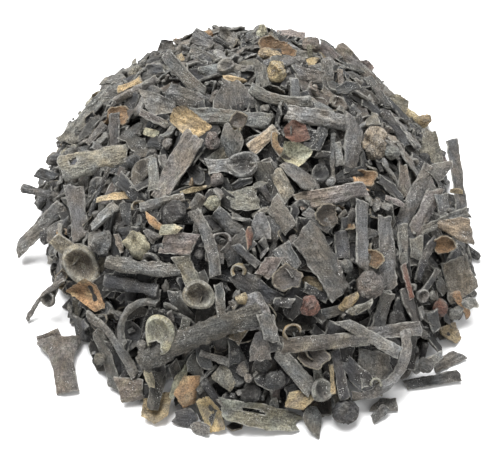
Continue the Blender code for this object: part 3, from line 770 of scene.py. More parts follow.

# %% [markdown]
# ## The body of the heap
# The pieces that fill the heap are drawn by lot from the kinds, with lengths and widths as the
# photograph shows them. Scattering them evenly would leave pits and towers. So each is dropped
# at the lowest of a few random places, as real pieces roll into hollows, until the map is close
# under the mound's surface. What lies deep is painted darker, in its tones and its colour, as
# shade, because little light gets there.

# %% What the loose pieces are, and how common
# Each row is a form, its lengths and widths in millimetres, and how common it is.
LOOSE_KINDS = (
    ("strap", (5, 15), (1.7, 4.4), 40),
    ("wedge", (4, 9), (3, 6.5), 15),
    ("leaf", (4, 9), (1.8, 4.2), 8),
    ("shard", (3.5, 8), (3, 6), 11),
    ("fork", (7, 12), (5, 8), 5),
    ("pod", (5, 10), (3.6, 6.2), 6),
    ("shell", (3.5, 6), (3.2, 6), 4),
    ("rod", (6, 15), (1.0, 2.4), 7),
    ("lump", (2.5, 5), (2.2, 4.2), 6),
    ("curl", (3, 5), (3, 5), 2),
)
print("the loose pieces are of", len(LOOSE_KINDS), "kinds")

# %% Which tones they have, and which mesh they go into
LOOSE_TONES = ("slate", "ash", "coal", "umber", "olive", "rose", "straw", "pale", "amber")
SKIN_KINDS = ("shard", "leaf", "shell", "lump", "curl")  # only these can have a skin's tone
TONE_SHARES = (0.46, 0.15, 0.20, 0.08, 0.05, 0.02, 0.02, 0.01, 0.01)
# the deep fill and the crumbs are drawn mostly coal: darker tones that paint shade where little
# light gets
SHADED_DEEP_SHARES = (0.34, 0.05, 0.50, 0.07, 0.02, 0.01, 0.01, 0.0, 0.0)
SHELL_SHARES = (0.16, 0.08, 0.02, 0.16, 0.05, 0.10, 0.23, 0.06, 0.14)
MESH_OF = {
    "strap": "cut_straps",
    "fork": "forked_fronds",
    "flared": "flakes",
    "wedge": "flakes",
    "shard": "torn_scraps",
    "leaf": "thin_leaves",
    "pod": "collapsed_bladders",
    "shell": "bladder_shells",
    "rod": "stalks",
    "lump": "swollen_tips",
    "curl": "curls",
}


# %% Drawing one loose piece
def drawn_piece(size_share, pitch):
    """A loose piece, drawn by lot: its kind, its form, its length and its width."""
    weights = np.array([row[-1] for row in LOOSE_KINDS])
    drawn = lot.choice(len(LOOSE_KINDS), p=weights / weights.sum())
    kind, lengths, widths, _ = LOOSE_KINDS[drawn]
    length = size_share * (lengths[0] + (lengths[1] - lengths[0]) * lot.beta(1.4, 2.2))
    width = (0.4 + 0.6 * size_share) * lot.uniform(*widths)
    shape = Shape(
        bend=lot.normal(0, 0.5),
        sweep=lot.normal(0, 0.35),
        twist=lot.normal(0, 0.5),
        cup=lot.normal(0, 0.2),
        pitch=pitch,
    )
    return kind, FORMS[kind](length, width, shape), length, width


# %% Dropping one loose piece
LYING_CLEAR = 0.84  # the share of a piece's points that lies clear of what is below it
STUCK_CLEAR = 0.6  # and of a piece that is stuck in steeply


def hollow_place(level, tries):
    """The place where the map is furthest under a level, of a few random ones."""
    share = np.sqrt(lot.uniform(0, 1.02, tries))
    turn = lot.uniform(0, 2 * math.pi, tries)
    x, y = place_at(share, turn)
    under = np.maximum(mound(x, y) + level, 0.4) - ground.height(x, y)
    best = np.argmax(under)
    return x[best], y[best], under[best]


def dropped(form, x, y, length, width, steepness, clear_share):
    """A loose piece's points where it comes to rest."""
    heading = lot.uniform(0, 2 * math.pi)
    middle = np.array([x, y, ground.height(x, y)])
    slope = slope_under(middle, heading, length, width)
    slope = unit(slope + steepness * np.array([*lot.normal(0, 1, 2), 0]))
    along = np.cross(slope, [-math.sin(heading), math.cos(heading), 0])
    points = middle + form.points @ frame_of(-along, slope)
    points = points + [0, 0, sunk_depth(points, clear_share)]
    return off_the_table(points)


def sticks_out(points, most):
    """Whether a piece stands further out of the mound than it may."""
    over = points[:, 2] - mound(points[:, 0], points[:, 1])
    turn = np.arctan2(points[:, 1] - AXIS[1], points[:, 0] - AXIS[0])
    foot = foot_share(points[:, 0], points[:, 1]) + bare_share(turn)
    far = points[:, 1].mean() > AXIS[1] + 0.4 * DEPTH_BACK
    return over.max() > most - 1.2 * far or foot.max() > 1.03


# %% Filling the heap up to just under its surface
FILL_TRIES = 2800
FILL_LEVEL = -2.4  # where the fill ends, over the mound's surface
FILL_PITCH = 1.3  # the spacing of the points of pieces that hardly show
# what the fill's colours are multiplied by: a painted shade, as little light gets deep
DEEP_SHADE = 0.52
filled = 0
for _ in range(FILL_TRIES):
    x, y, under = hollow_place(FILL_LEVEL, 7)
    if under < 0.2:
        continue
    kind, form, length, width = drawn_piece(1.0, FILL_PITCH)
    steep = lot.uniform() < 0.16
    steepness, clear_share = (1.1, STUCK_CLEAR) if steep else (0.3, LYING_CLEAR)
    points = dropped(form, x, y, length, width, steepness, clear_share)
    if sticks_out(points, 2.2):
        continue
    keep(MESH_OF[kind], form, points, lot.choice(LOOSE_TONES, p=SHADED_DEEP_SHARES), kind, DEEP_SHADE)
    filled += 1
print(f"{filled} loose pieces fill the heap")

# %% [markdown]
# ## The pieces that the photograph shows
# What a viewer compares is the top layer, so its pieces aren't drawn by lot. They were looked up
# in the photograph one by one. Each line names a form, the two pixels between which it lies, its
# width in millimetres and its tone. A few also say by how many degrees the piece arches and
# turns, how far its edges rise, and where it has a hole.
# The lists run from the back to the front and from below to above, because what comes later
# lies on top.

# %% The far rim, in the picture's top rows
FAR_RIM = (
    ("shard", (262, 23), (261, 46), 5.0, "pale"),
    ("shard", (273, 27), (307, 30), 5.0, "rose"),
    ("strap", (193, 35), (222, 50), 3.6, "slate"),
    ("shard", (216, 34), (238, 44), 4.2, "ash"),
    ("shard", (154, 48), (176, 52), 4.8, "slate"),
    ("shard", (146, 66), (160, 58), 3.6, "coal"),
    ("rod", (214, 38), (232, 48), 1.4, "coal"),
    ("lump", (302, 45), (320, 45), 4.4, "umber"),
    ("rod", (316, 34), (318, 51), 1.2, "pale"),
    ("strap", (321, 44), (336, 59), 3.1, "rose"),
    ("shard", (363, 50), (384, 61), 4.8, "rose"),
    ("strap", (337, 43), (372, 82), 3.2, "umber"),
    ("strap", (368, 78), (388, 106), 2.1, "slate"),
    ("shell", (262, 40), (296, 42), 8.2, "amber"),
    ("lump", (258, 52), (282, 58), 3.0, "straw"),
    ("strap", (147, 70), (164, 70), 2.5, "coal"),
    ("strap", (166, 54), (205, 96), 3.0, "slate", 0, -12),
    ("rod", (182, 44), (176, 60), 1.2, "slate"),
    ("wedge", (198, 70), (217, 70), 3.5, "ash"),
    ("lump", (136, 66), (136, 81), 3.6, "olive"),
    ("strap", (101, 80), (126, 78), 2.5, "ash"),
    ("shard", (383, 91), (408, 99), 6.0, "olive"),
    ("shard", (411, 96), (428, 98), 4.0, "ash"),
    ("strap", (398, 104), (431, 126), 2.4, "straw", 50),
    ("lump", (416, 122), (432, 118), 3.0, "straw"),
    ("shard", (305, 62), (319, 61), 2.2, "straw"),
)

# %% The left side, from the back to the front
LEFT_SIDE = (
    ("strap", (118, 90), (141, 80), 2.0, "straw"),
    ("shell", (103, 112), (127, 112), 5.7, "amber"),
    ("strap", (112, 114), (114, 150), 2.8, "bark"),
    ("rod", (88, 144), (105, 124), 1.9, "slate"),
    ("strap", (109, 91), (67, 137), 4.6, "ash"),
    ("lump", (48, 160), (63, 160), 3.0, "coal"),
    ("strap", (37, 172), (56, 178), 2.6, "coal"),
    ("shard", (70, 160), (79, 160), 2.2, "coal"),
    ("strap", (61, 168), (128, 153), 6.0, "olive", 12, 0, 0, (-4.2, 0.5, 0.9, 0.9)),
    ("strap", (140, 112), (169, 126), 1.7, "umber"),
    ("rod", (22, 188), (62, 198), 1.9, "slate"),
    ("strap", (62, 205), (18, 250), 3.7, "slate", 20),
    ("strap", (73, 186), (80, 240), 4.2, "slate"),
    ("strap", (117, 205), (92, 228), 2.2, "ash"),
    ("strap", (125, 203), (128, 226), 2.6, "coal"),
    ("rod", (109, 168), (90, 216), 1.1, "coal"),
    ("leaf", (97, 201), (134, 197), 1.7, "straw", 50),
    ("lump", (88, 242), (113, 242), 5.0, "slate"),
    ("shard", (138, 260), (136, 229), 5.8, "pale"),
    ("pod", (83, 264), (54, 238), 7.6, "olive"),
    ("shard", (70, 281), (106, 307), 5.6, "amber", 0, 0, 0.4),
    ("pod", (49, 299), (64, 269), 3.3, "slate"),
    ("strap", (66, 279), (27, 320), 1.2, "umber", 0, -50),
    ("rod", (105, 280), (158, 291), 2.5, "coal"),
    ("rod", (108, 262), (181, 270), 2.8, "slate", 0, -15),
    ("shard", (142, 133), (158, 133), 2.2, "pale"),
    ("curl", (56, 232), (68, 232), 2.4, "amber"),
    ("curl", (133, 205), (147, 207), 3.2, "straw"),
    ("leaf", (115, 234), (122, 251), 1.9, "umber"),
    ("leaf", (146, 214), (164, 231), 1.7, "amber", 30),
)

# %% The top of the heap, as the picture shows it
CROWN = (
    ("pod", (226, 66), (252, 68), 3.4, "slate"),
    ("leaf", (222, 77), (246, 81), 1.3, "straw", 30),
    ("strap", (260, 62), (263, 89), 2.7, "ash"),
    ("lump", (276, 61), (276, 83), 4.3, "straw"),
    ("strap", (294, 78), (296, 99), 2.1, "slate"),
    ("strap", (295, 72), (323, 78), 3.4, "slate"),
    ("strap", (326, 60), (328, 89), 2.7, "slate"),
    ("wedge", (235, 82), (235, 110), 9.0, "slate", 0, 0, 0.15),
    ("leaf", (335, 92), (359, 85), 2.9, "coal"),
    ("pod", (338, 104), (322, 88), 3.4, "umber"),
    ("strap", (250, 88), (311, 100), 2.4, "slate", 0, -45),
    ("strap", (168, 92), (208, 106), 4.0, "slate", 60),
    ("wedge", (175, 108), (145, 103), 5.6, "ash"),
    ("strap", (158, 78), (114, 101), 1.8, "umber"),
    ("strap", (190, 115), (269, 122), 3.1, "slate", 15),
    ("shard", (163, 121), (201, 134), 5.8, "straw", 0, 0, 0.3),
    ("shell", (229, 122), (247, 122), 4.2, "umber"),
    ("leaf", (232, 127), (232, 158), 5.0, "slate"),
    ("strap", (286, 113), (349, 124), 3.5, "slate"),
    ("shard", (296, 137), (325, 137), 4.2, "sorrel", 0, 0, 0.3),
    ("strap", (337, 142), (340, 166), 1.8, "ash"),
    ("strap", (385, 112), (408, 146), 2.3, "coal"),
    ("strap", (355, 121), (350, 169), 3.9, "slate"),
    ("lump", (375, 126), (375, 161), 5.0, "fawn"),
    ("lump", (384, 153), (400, 153), 3.0, "ash"),
    ("strap", (250, 150), (276, 129), 2.7, "fawn", 20),
    ("shard", (283, 158), (311, 159), 6.0, "pale", 0, 0, 0.7),
    ("pod", (243, 165), (207, 166), 5.8, "ash"),
    ("strap", (196, 136), (160, 201), 4.8, "umber", 10, 0, 0.2),
    ("lump", (212, 131), (212, 150), 2.8, "rose"),
    ("strap", (275, 132), (282, 153), 1.5, "amber", 0, -70),
    ("lump", (211, 180), (223, 180), 2.8, "rose"),
    ("leaf", (182, 192), (206, 187), 1.3, "straw"),
    ("lump", (213, 195), (213, 211), 3.0, "pale"),
)

# %% The right side, from the back to the front
RIGHT_SIDE = (
    ("wedge", (431, 130), (430, 163), 5.8, "olive"),
    ("strap", (451, 141), (463, 238), 2.8, "slate"),
    ("shell", (362, 178), (378, 178), 4.2, "amber"),
    ("leaf", (378, 178), (401, 198), 2.2, "coal"),
    ("leaf", (403, 164), (403, 197), 2.8, "umber"),
    ("strap", (431, 167), (400, 228), 3.1, "slate"),
    ("strap", (436, 190), (414, 237), 3.5, "umber"),
    ("strap", (440, 194), (443, 211), 3.1, "slate"),
    ("strap", (419, 232), (466, 211), 2.0, "slate"),
    ("wedge", (437, 224), (472, 232), 5.6, "fawn", 30),
    ("strap", (454, 259), (465, 296), 7.0, "olive", -15),
    ("strap", (455, 292), (468, 315), 1.9, "amber"),
    ("lump", (433, 306), (447, 310), 3.4, "sorrel"),
    ("shard", (438, 334), (466, 336), 5.4, "straw", 0, 0, 0.5),
    ("strap", (432, 311), (437, 331), 2.5, "coal"),
    ("strap", (435, 240), (417, 281), 2.0, "coal", 0, -40),
    ("shell", (436, 247), (457, 247), 4.8, "fawn"),
    ("leaf", (402, 224), (402, 263), 2.8, "slate"),
    ("strap", (416, 237), (416, 259), 2.8, "ash"),
    ("strap", (402, 265), (412, 299), 1.4, "sorrel"),
    ("strap", (384, 217), (388, 291), 3.7, "bark", 10),
    ("strap", (388, 293), (376, 333), 3.4, "bark"),
    ("shell", (365, 260), (385, 260), 4.6, "straw"),
    ("strap", (362, 201), (362, 269), 2.8, "slate"),
    ("lump", (356, 285), (384, 285), 5.2, "rose"),
    ("wedge", (452, 164), (431, 175), 4.2, "umber"),
    ("leaf", (448, 190), (464, 192), 1.3, "straw"),
    ("leaf", (385, 197), (405, 206), 1.5, "rose"),
    ("strap", (438, 269), (414, 301), 1.3, "coal", 0, 30),
    ("pod", (422, 296), (424, 288), 2.8, "ash"),
)

# %% The middle of the picture
MIDDLE = (
    ("strap", (140, 207), (184, 197), 2.0, "slate"),
    ("lump", (163, 212), (187, 212), 4.3, "coal"),
    ("strap", (163, 241), (195, 245), 4.6, "rose"),
    ("strap", (215, 211), (239, 233), 3.0, "coal"),
    ("curl", (210, 238), (230, 238), 4.6, "umber"),
    ("strap", (193, 211), (215, 276), 2.4, "slate", 0, 40),
    ("strap", (229, 201), (258, 197), 5.1, "olive", -10),
    ("strap", (275, 171), (290, 198), 3.0, "olive"),
    ("strap", (272, 202), (291, 229), 3.6, "slate"),
    ("wedge", (262, 212), (262, 239), 4.8, "ash"),
    ("strap", (235, 245), (259, 266), 1.7, "coal"),
    ("strap", (280, 246), (296, 271), 3.8, "slate"),
    ("strap", (262, 276), (275, 257), 3.0, "rose"),
    ("leaf", (233, 274), (277, 301), 4.6, "coal"),
    ("shell", (274, 280), (302, 280), 6.2, "umber"),
    ("strap", (297, 203), (365, 188), 3.7, "umber"),
    ("strap", (305, 211), (331, 229), 2.4, "slate"),
    ("shell", (320, 218), (346, 218), 5.7, "umber"),
    ("strap", (342, 231), (343, 259), 3.0, "coal"),
    ("strap", (303, 229), (342, 293), 6.2, "slate", 25),
    ("pod", (199, 294), (180, 256), 6.0, "olive"),
    ("strap", (217, 284), (222, 321), 1.9, "slate"),
    ("wedge", (255, 292), (255, 330), 8.3, "ash"),
    ("lump", (310, 295), (310, 316), 3.6, "sorrel"),
    ("leaf", (340, 309), (359, 294), 2.2, "straw", 40),
    ("leaf", (349, 313), (371, 304), 2.2, "olive"),
    ("shard", (158, 232), (184, 228), 2.4, "pale"),
    ("leaf", (250, 227), (250, 247), 1.8, "sorrel"),
    ("curl", (231, 270), (246, 270), 2.6, "straw"),
    ("shard", (235, 298), (246, 299), 2.6, "straw"),
    ("strap", (274, 302), (293, 303), 1.8, "coal"),
)

# %% The near rim, in the picture's bottom rows
NEAR_RIM = (
    ("rod", (38, 342), (60, 333), 2.0, "umber"),
    ("strap", (97, 329), (115, 389), 2.9, "slate"),
    ("strap", (88, 316), (135, 376), 1.9, "slate", 0, 30),
    ("flared", (61, 340), (68, 396), 9.8, "umber", 12),
    ("strap", (118, 390), (143, 390), 4.8, "umber"),
    ("strap", (157, 304), (125, 346), 1.5, "slate", 0, -150),
    ("shard", (136, 418), (170, 422), 6.4, "straw", 0, 0, 0.4),
    ("strap", (160, 371), (152, 409), 2.9, "coal", 20),
    ("leaf", (186, 364), (170, 399), 2.0, "pale"),
    ("shard", (193, 373), (181, 409), 4.6, "amber"),
    ("leaf", (175, 418), (197, 420), 4.2, "coal"),
    ("shard", (199, 397), (219, 432), 4.8, "straw", 0, 0, 0.5),
    ("shard", (226, 368), (225, 393), 5.0, "olive"),
    ("leaf", (221, 410), (298, 424), 5.2, "olive", 15, 0, 0, (-1.8, 0.7, 2.6, 0.35)),
    ("wedge", (259, 330), (261, 360), 4.7, "slate"),
    ("strap", (265, 314), (272, 341), 3.3, "slate"),
    ("lump", (265, 380), (286, 380), 3.8, "coal"),
    ("shard", (283, 402), (313, 402), 4.2, "straw"),
    ("strap", (276, 349), (311, 389), 3.2, "ash"),
    ("leaf", (312, 412), (314, 439), 4.4, "slate"),
    ("pod", (321, 390), (317, 369), 4.3, "slate"),
    ("shell", (297, 360), (330, 365), 6.2, "olive"),
    ("strap", (335, 349), (345, 399), 2.1, "coal"),
    ("rod", (331, 364), (334, 394), 1.0, "straw"),
    ("leaf", (345, 361), (371, 389), 3.8, "coal"),
    ("lump", (333, 412), (358, 412), 4.8, "coal"),
    ("strap", (374, 405), (397, 405), 2.8, "slate"),
    ("strap", (386, 409), (372, 422), 2.0, "slate"),
    ("strap", (374, 351), (377, 382), 6.8, "slate", -10),
    ("strap", (405, 386), (459, 376), 2.3, "coal"),
    ("strap", (434, 368), (460, 355), 2.7, "slate"),
    ("strap", (412, 371), (441, 355), 1.9, "ash", 80),
    ("strap", (282, 346), (369, 338), 3.1, "umber", 10),
    ("strap", (368, 333), (421, 328), 2.8, "slate"),
    ("strap", (405, 330), (352, 396), 2.4, "ash", 0, 105),
    ("strap", (342, 321), (399, 353), 2.5, "ash"),
    ("rod", (143, 362), (262, 312), 4.3, "bark", 8, 14),
    ("pod", (159, 334), (160, 337), 6.6, "pale", 0, 0, 0, (2.6, -1.8, 1.6, 1.4)),
    ("leaf", (147, 369), (152, 389), 1.8, "pale"),
    ("rod", (200, 352), (228, 362), 1.5, "slate"),
    ("lump", (94, 358), (106, 360), 2.6, "olive"),
    ("leaf", (191, 426), (210, 431), 3.0, "slate"),
    ("shard", (236, 368), (250, 369), 2.8, "umber"),
    ("curl", (284, 335), (299, 326), 3.4, "straw"),
    ("curl", (371, 382), (381, 382), 2.2, "pale"),
    ("lump", (418, 364), (434, 366), 3.2, "slate"),
    ("shard", (448, 312), (463, 313), 3.0, "ash"),
    ("leaf", (462, 303), (477, 303), 2.6, "ash"),
)

# %% All of them, in the order in which they are laid
Piece = namedtuple(
    "Piece", "form start end width tone bend sweep cup opening", defaults=(0, 0, 0, None)
)
SEEN = [Piece(*row) for row in FAR_RIM + LEFT_SIDE + CROWN + RIGHT_SIDE + MIDDLE + NEAR_RIM]
print(len(SEEN), "pieces are laid where the photograph has them")

# %% [markdown]
# A pixel only gives a line, so where along it is the piece? Where the line first meets the
# ground map. Laid flat on the slope there, a piece of the far rim would be seen nearly edge on,
# and turned wholly to the viewer it would look like a card in a box. So it half follows the
# slope and half turns its face to the viewer. Wherever it has to be lifted it moves along the
# line of sight, so it stays under its pixels. A piece that would hang in the air is pushed in
# until it touches the heap.

# %% Where the ends of a piece are
MOST_AWAY = 0.9  # how far behind one end the other may lie, as a share of the piece's size


def seen_depth(pixel):
    """How far along the line of sight the heap shows at a pixel of the photograph."""
    depths = np.arange(0.6, 1.5, 0.001) * VIEW_DISTANCE
    points = CAMERA_PLACE + depths[:, None] * sight_line(pixel)
    clear = points[:, 2] - ground.height(points[:, 0], points[:, 1])
    on_heap = mound(points[:, 0], points[:, 1]) > 0
    hit = np.argmax(clear <= 0)
    if points[hit, 1] > AXIS[1] and on_heap[:hit].any():
        hit = np.argmin(np.where(on_heap, np.abs(clear), 99))
    return depths[hit]


def seen_ends(piece):
    """A piece's two ends on the heap. Where one is far behind the other, it is drawn nearer."""
    pixels = np.array([piece.start, piece.end], float)
    depths = np.array([seen_depth(pixel) for pixel in pixels])
    across = np.linalg.norm(pixels[1] - pixels[0]) / FOCAL_PIXELS * depths.min()
    depths = np.minimum(depths, depths.min() + MOST_AWAY * across)
    return [CAMERA_PLACE + depth * sight_line(pixel) for depth, pixel in zip(depths, pixels)]


# %% Which way it points and faces, and its shape
TURNED = 0.5  # how much of a piece's face turns to the viewer, for one on the near slope
LEAST_FACING = 0.3  # slopes that face the viewer less than this count as this
MOST_TURNED = 0.8
ON_THE_TABLE = 1.2  # a piece with an end this low leans from the table, and is turned less
TURNED_ON_TABLE = 0.25
SEEN_PITCH = 0.6


def half_turned(piece, start, end, sight):
    """The line from end to end and the way the face looks, both half turned to the viewer."""
    middle, chord = (start + end) / 2, end - start
    heading = math.atan2(chord[1], chord[0])
    slope = slope_under(middle, heading, np.linalg.norm(chord), piece.width)
    turned_share = TURNED / max(-slope @ sight, LEAST_FACING)
    if min(start[2], end[2]) < ON_THE_TABLE:
        turned_share *= TURNED_ON_TABLE
    chord = chord - min(turned_share, MOST_TURNED) * (chord @ sight) * sight
    return chord, slope - turned_share * sight


def seen_form(piece, chord):
    """The piece itself, so long that its ends reach their pixels however it is bent."""
    bend, sweep = math.radians(piece.bend), math.radians(piece.sweep)
    curve, length = max(abs(bend), abs(sweep)), np.linalg.norm(chord)
    if curve > 0.1:
        length *= curve / 2 / math.sin(curve / 2)
    cup = piece.cup or lot.normal(0, 0.2)
    bend, twist = bend + lot.normal(0, 0.2), lot.normal(0, 0.3)
    shape = Shape(bend, sweep, twist, cup, SEEN_PITCH, piece.opening)
    return FORMS[piece.form](length, piece.width, shape)


# %% How it comes to rest
CUP_CLEAR = 0.97  # nearly all of a cup lies clear, so that nothing pokes through its floor
LIFTS, LIFT_SHARE = 12, 0.6  # it is lifted in small steps, each a share of what is needed
PUSHES, PUSH = 25, 0.3  # and pushed in by this many millimetres at a time
FLAT_ON_TABLE = 2.0  # a piece whose points are this low on average lies on the table
MOST_OVER = 4.8  # how far a piece of the far rim may stand out over the mound
MOST_LOWERED = 3.0


def touching(points):
    """Pushes a piece in until it touches the heap, unless it lies flat on the table."""
    points = off_the_table(points)
    inwards = unit((AXIS - points.mean(0)) * [1, 1, 0])
    flat = points[:, 2].mean() < FLAT_ON_TABLE and points[:, 1].mean() < AXIS[1]
    for _ in range(0 if flat else PUSHES):
        if sunk_depth(points, LYING_CLEAR) < -0.1:
            points = points + PUSH * inwards
    return points


def at_rest(points, sight, clear_share):
    """A piece's points once it is lifted clear and touches the heap."""
    for _ in range(LIFTS):
        lift = LIFT_SHARE * sight * sunk_depth(points, clear_share) / sight[2]
        points = points + lift
    return touching(points)


def lay_seen(piece):
    """Lays a piece that shows, and gives its points and its form."""
    start, end = seen_ends(piece)
    middle = (start + end) / 2
    sight = unit(sight_line((np.array(piece.start) + piece.end) / 2))
    chord, face = half_turned(piece, start, end, sight)
    form = seen_form(piece, chord)
    face = face + lot.normal(0, 0.3 if piece.form == "shell" else 0.08, 3)
    cupped = piece.form == "shell" or piece.cup > 0.25
    points = middle + form.points @ frame_of(chord, face)
    points = at_rest(points, sight, CUP_CLEAR if cupped else LYING_CLEAR)
    over = (points[:, 2] - mound(points[:, 0], points[:, 1])).max()
    if middle[1] > AXIS[1] + 0.3 * DEPTH_BACK and over > MOST_OVER:
        points = off_the_table(points - [0, 0, min(over - MOST_OVER, MOST_LOWERED)])
    skin = piece.form in ("shard", "leaf") and piece.tone in SKIN_TONES
    mesh_name = "bladder_skins" if skin else MESH_OF[piece.form]
    keep(mesh_name, form, points, piece.tone, piece.form)
    return points, form


# %% Laying them all, and marking how far away they show at each pixel
NOTHING_SHOWN = 0.0
shown_depth = np.full(PICTURE_SIZE[::-1], NOTHING_SHOWN)
for piece in SEEN:
    # Its own lot, so that changing one piece leaves the looks of the others alone.
    lot = np.random.default_rng([SEED, *piece.start])
    points, form = lay_seen(piece)
    row, column, depth = pixels_of(spread_over(points, form.faces, parts=4))
    shown_depth[row, column] = depth
lot = np.random.default_rng(SEED + 1)  # what follows is drawn from one lot again
print(f"they cover {(shown_depth > NOTHING_SHOWN).mean():.0%} of the picture")

# %% [markdown]
# ## What lies between them, and on the far side
# Larger pieces of the same kinds go on first, mostly on the far side, so that the heap looks
# the same all round. Then scraps go into the gaps that are left, and small ones on top of
# those. On the side that the photograph shows, none is laid where it would hide a piece above.

# %% Scraps in the gaps
GAP_PITCH = 0.75
MOST_HIDDEN = 0.15


def hides_shown(points, faces):
    """Whether a scrap would cover much of the pieces that the photograph shows."""
    row, column, depth = pixels_of(spread_over(points, faces, parts=2))
    return (depth < shown_depth[row, column] + 0.5).mean() > MOST_HIDDEN


def fill_gaps(tries, level, size_share, most):
    """Lays loose pieces up to a level over the mound, and gives how many found a place."""
    count = 0
    for _ in range(tries):
        x, y, under = hollow_place(level, 5)
        if under < 0.3:
            continue
        kind, form, length, width = drawn_piece(size_share, GAP_PITCH)
        steep = lot.uniform() < 0.25
        steepness, clear_share = (1.0, STUCK_CLEAR) if steep else (0.35, LYING_CLEAR)
        points = dropped(form, x, y, length, width, steepness, clear_share)
        if sticks_out(points, most) or hides_shown(points, form.faces):
            continue
        tone_name = lot.choice(LOOSE_TONES, p=SHELL_SHARES if kind == "shell" else TONE_SHARES)
        if tone_name in SKIN_TONES and kind not in SKIN_KINDS:
            tone_name = "slate"
        keep(MESH_OF[kind], form, points, tone_name, kind)
        count += 1
    return count


larger = fill_gaps(tries=700, level=0.2, size_share=1.0, most=4.2)
scraps = fill_gaps(tries=700, level=-0.6, size_share=0.65, most=2.4)
small = fill_gaps(tries=1200, level=0.3, size_share=0.4, most=2.6)
print(f"{larger} larger pieces are laid around them, then {scraps} and {small} scraps")

# %% [markdown]
# ## Crumbs
# Cutting dry weed leaves crumbs. Particles could strew them, but then they wouldn't find the
# gaps by themselves. They are finer than a grain of rice, so each is a simple chip: a squashed
# block of eight corners, each moved by lot, which is dropped as the larger pieces are.

# %% Chips of frond
CHIP_FACES = np.array(
    [
        (0, 2, 1), (1, 2, 3), (4, 5, 6), (5, 7, 6), (0, 1, 4), (1, 5, 4),
        (2, 6, 3), (3, 6, 7), (0, 4, 2), (2, 4, 6), (1, 3, 5), (3, 7, 5),
    ]
)  # fmt: skip
CHIP_CORNERS = np.array([(x, y, z) for z in (-1, 1) for y in (-1, 1) for x in (-1, 1)], float)
CRUMBS = 420


def chip():
    """A crumb: a block, squashed and made uneven."""
    size = lot.uniform(0.25, 0.8) * np.array([1.0, lot.uniform(0.4, 0.9), lot.uniform(0.2, 0.5)])
    corners = CHIP_CORNERS * size * lot.uniform(0.6, 1.15, (8, 3))
    return Form(corners, CHIP_FACES, np.full(8, 0.3), np.zeros(8), corners)


# %% Strewing them
for _ in range(CRUMBS):
    x, y, _ = hollow_place(-1.5, 8)
    form = chip()
    points = dropped(form, x, y, length=1.5, width=1.0, steepness=0.4, clear_share=0.7)
    if not sticks_out(points, 9.0) and not hides_shown(points, form.faces):
        # their tones are drawn mostly dark, as painted shade in the gaps
        keep("crumbs", form, points, lot.choice(LOOSE_TONES, p=SHADED_DEEP_SHARES), "crumb")
print(len(laid["crumbs"]), "of", CRUMBS, "crumbs find a place")

# %% [markdown]
# ## Effects that several materials share
# The greys, the tan skins and the bark have the same four effects: a fine velvety grain,
# wrinkles along the piece, whose furrows get a painted shade, pale edges, partly worn and partly
# a painted highlight, and salt that bloomed out as it dried. Each is a node group that is built
# once, with its strength as an input, and each material gives it its own values. They read the
# grain attribute, a place in the piece's own frame, so wrinkles run along each piece whichever
# way it lies.

# %% Building a node group
def new_group(name, inputs, outputs):
    """An empty shader group with named sockets, and its input and output nodes."""
    group = bpy.data.node_groups.new(name, "ShaderNodeTree")
    for socket, kind, value in inputs:
        made = group.interface.new_socket(socket, in_out="INPUT", socket_type=kind)
        if value is not None:
            made.default_value = value
    for socket, kind in outputs:
        group.interface.new_socket(socket, in_out="OUTPUT", socket_type=kind)
    return group, group.nodes.new("NodeGroupInput"), group.nodes.new("NodeGroupOutput")


# %% The few kinds of node that the groups are built from
def feed(tree, socket, value):
    """Gives an input a plain value, or links it to another node's output."""
    if isinstance(value, bpy.types.NodeSocket):
        tree.links.new(value, socket)
    else:
        socket.default_value = value


def noise(tree, place, scale, detail=3, roughness=0.6):
    """Soft random spots from 0 to 1."""
    node = tree.nodes.new("ShaderNodeTexNoise")
    node.inputs["Detail"].default_value = detail
    node.inputs["Roughness"].default_value = roughness
    feed(tree, node.inputs["Vector"], place)
    feed(tree, node.inputs["Scale"], scale)
    return node.outputs["Fac"]


def math_node(tree, operation, *values, clamp=False):
    """A sum, a product or the like of two or three values."""
    node = tree.nodes.new("ShaderNodeMath")
    node.operation = operation
    node.use_clamp = clamp
    for socket, value in zip(node.inputs, values):
        feed(tree, socket, value)
    return node.outputs[0]


def ranged(tree, value, low, high, to_low=0.0, to_high=1.0):
    """A value taken from one range to another, and held inside it."""
    node = tree.nodes.new("ShaderNodeMapRange")
    tree.links.new(value, node.inputs["Value"])
    limits = {"From Min": low, "From Max": high, "To Min": to_low, "To Max": to_high}
    for name, limit in limits.items():
        node.inputs[name].default_value = limit
    return node.outputs["Result"]


def mixed(tree, blend, share, first, second):
    """Two colours mixed. Each may be a socket or a colour."""
    node = tree.nodes.new("ShaderNodeMix")
    node.data_type = "RGBA"
    node.blend_type = blend
    # A Mix node keeps its sockets for numbers and vectors too. These are the ones for colours.
    feed(tree, node.inputs["Factor"], share)
    feed(tree, node.inputs[6], first)
    feed(tree, node.inputs[7], second)
    return node.outputs[2]


# %% Velvety grain
group, given, result = new_group(
    "velvet_grain",
    [
        ("Place", "NodeSocketVector", None),
        ("Tone", "NodeSocketColor", None),
        ("Contrast", "NodeSocketFloat", 0.3),
    ],
    [("Color", "NodeSocketColor"), ("Height", "NodeSocketFloat")],
)
patches = noise(group, given.outputs["Place"], 0.28)
mottle = noise(group, given.outputs["Place"], 1.0, detail=2)
speckle = noise(group, given.outputs["Place"], 3.0, roughness=0.8)
patch_shade = ranged(group, patches, 0.3, 0.7, 0.74, 1.26)
mottle_shade = ranged(group, mottle, 0.3, 0.7, 0.8, 1.2)
speckle_centred = math_node(group, "SUBTRACT", speckle, 0.5)
speckle_size = math_node(group, "MULTIPLY", speckle_centred, given.outputs["Contrast"])
speckle_shade = math_node(group, "MULTIPLY_ADD", speckle_size, 4.0, 1.0)
shade = math_node(group, "MULTIPLY", patch_shade, speckle_shade)
shade = math_node(group, "MULTIPLY", shade, mottle_shade)
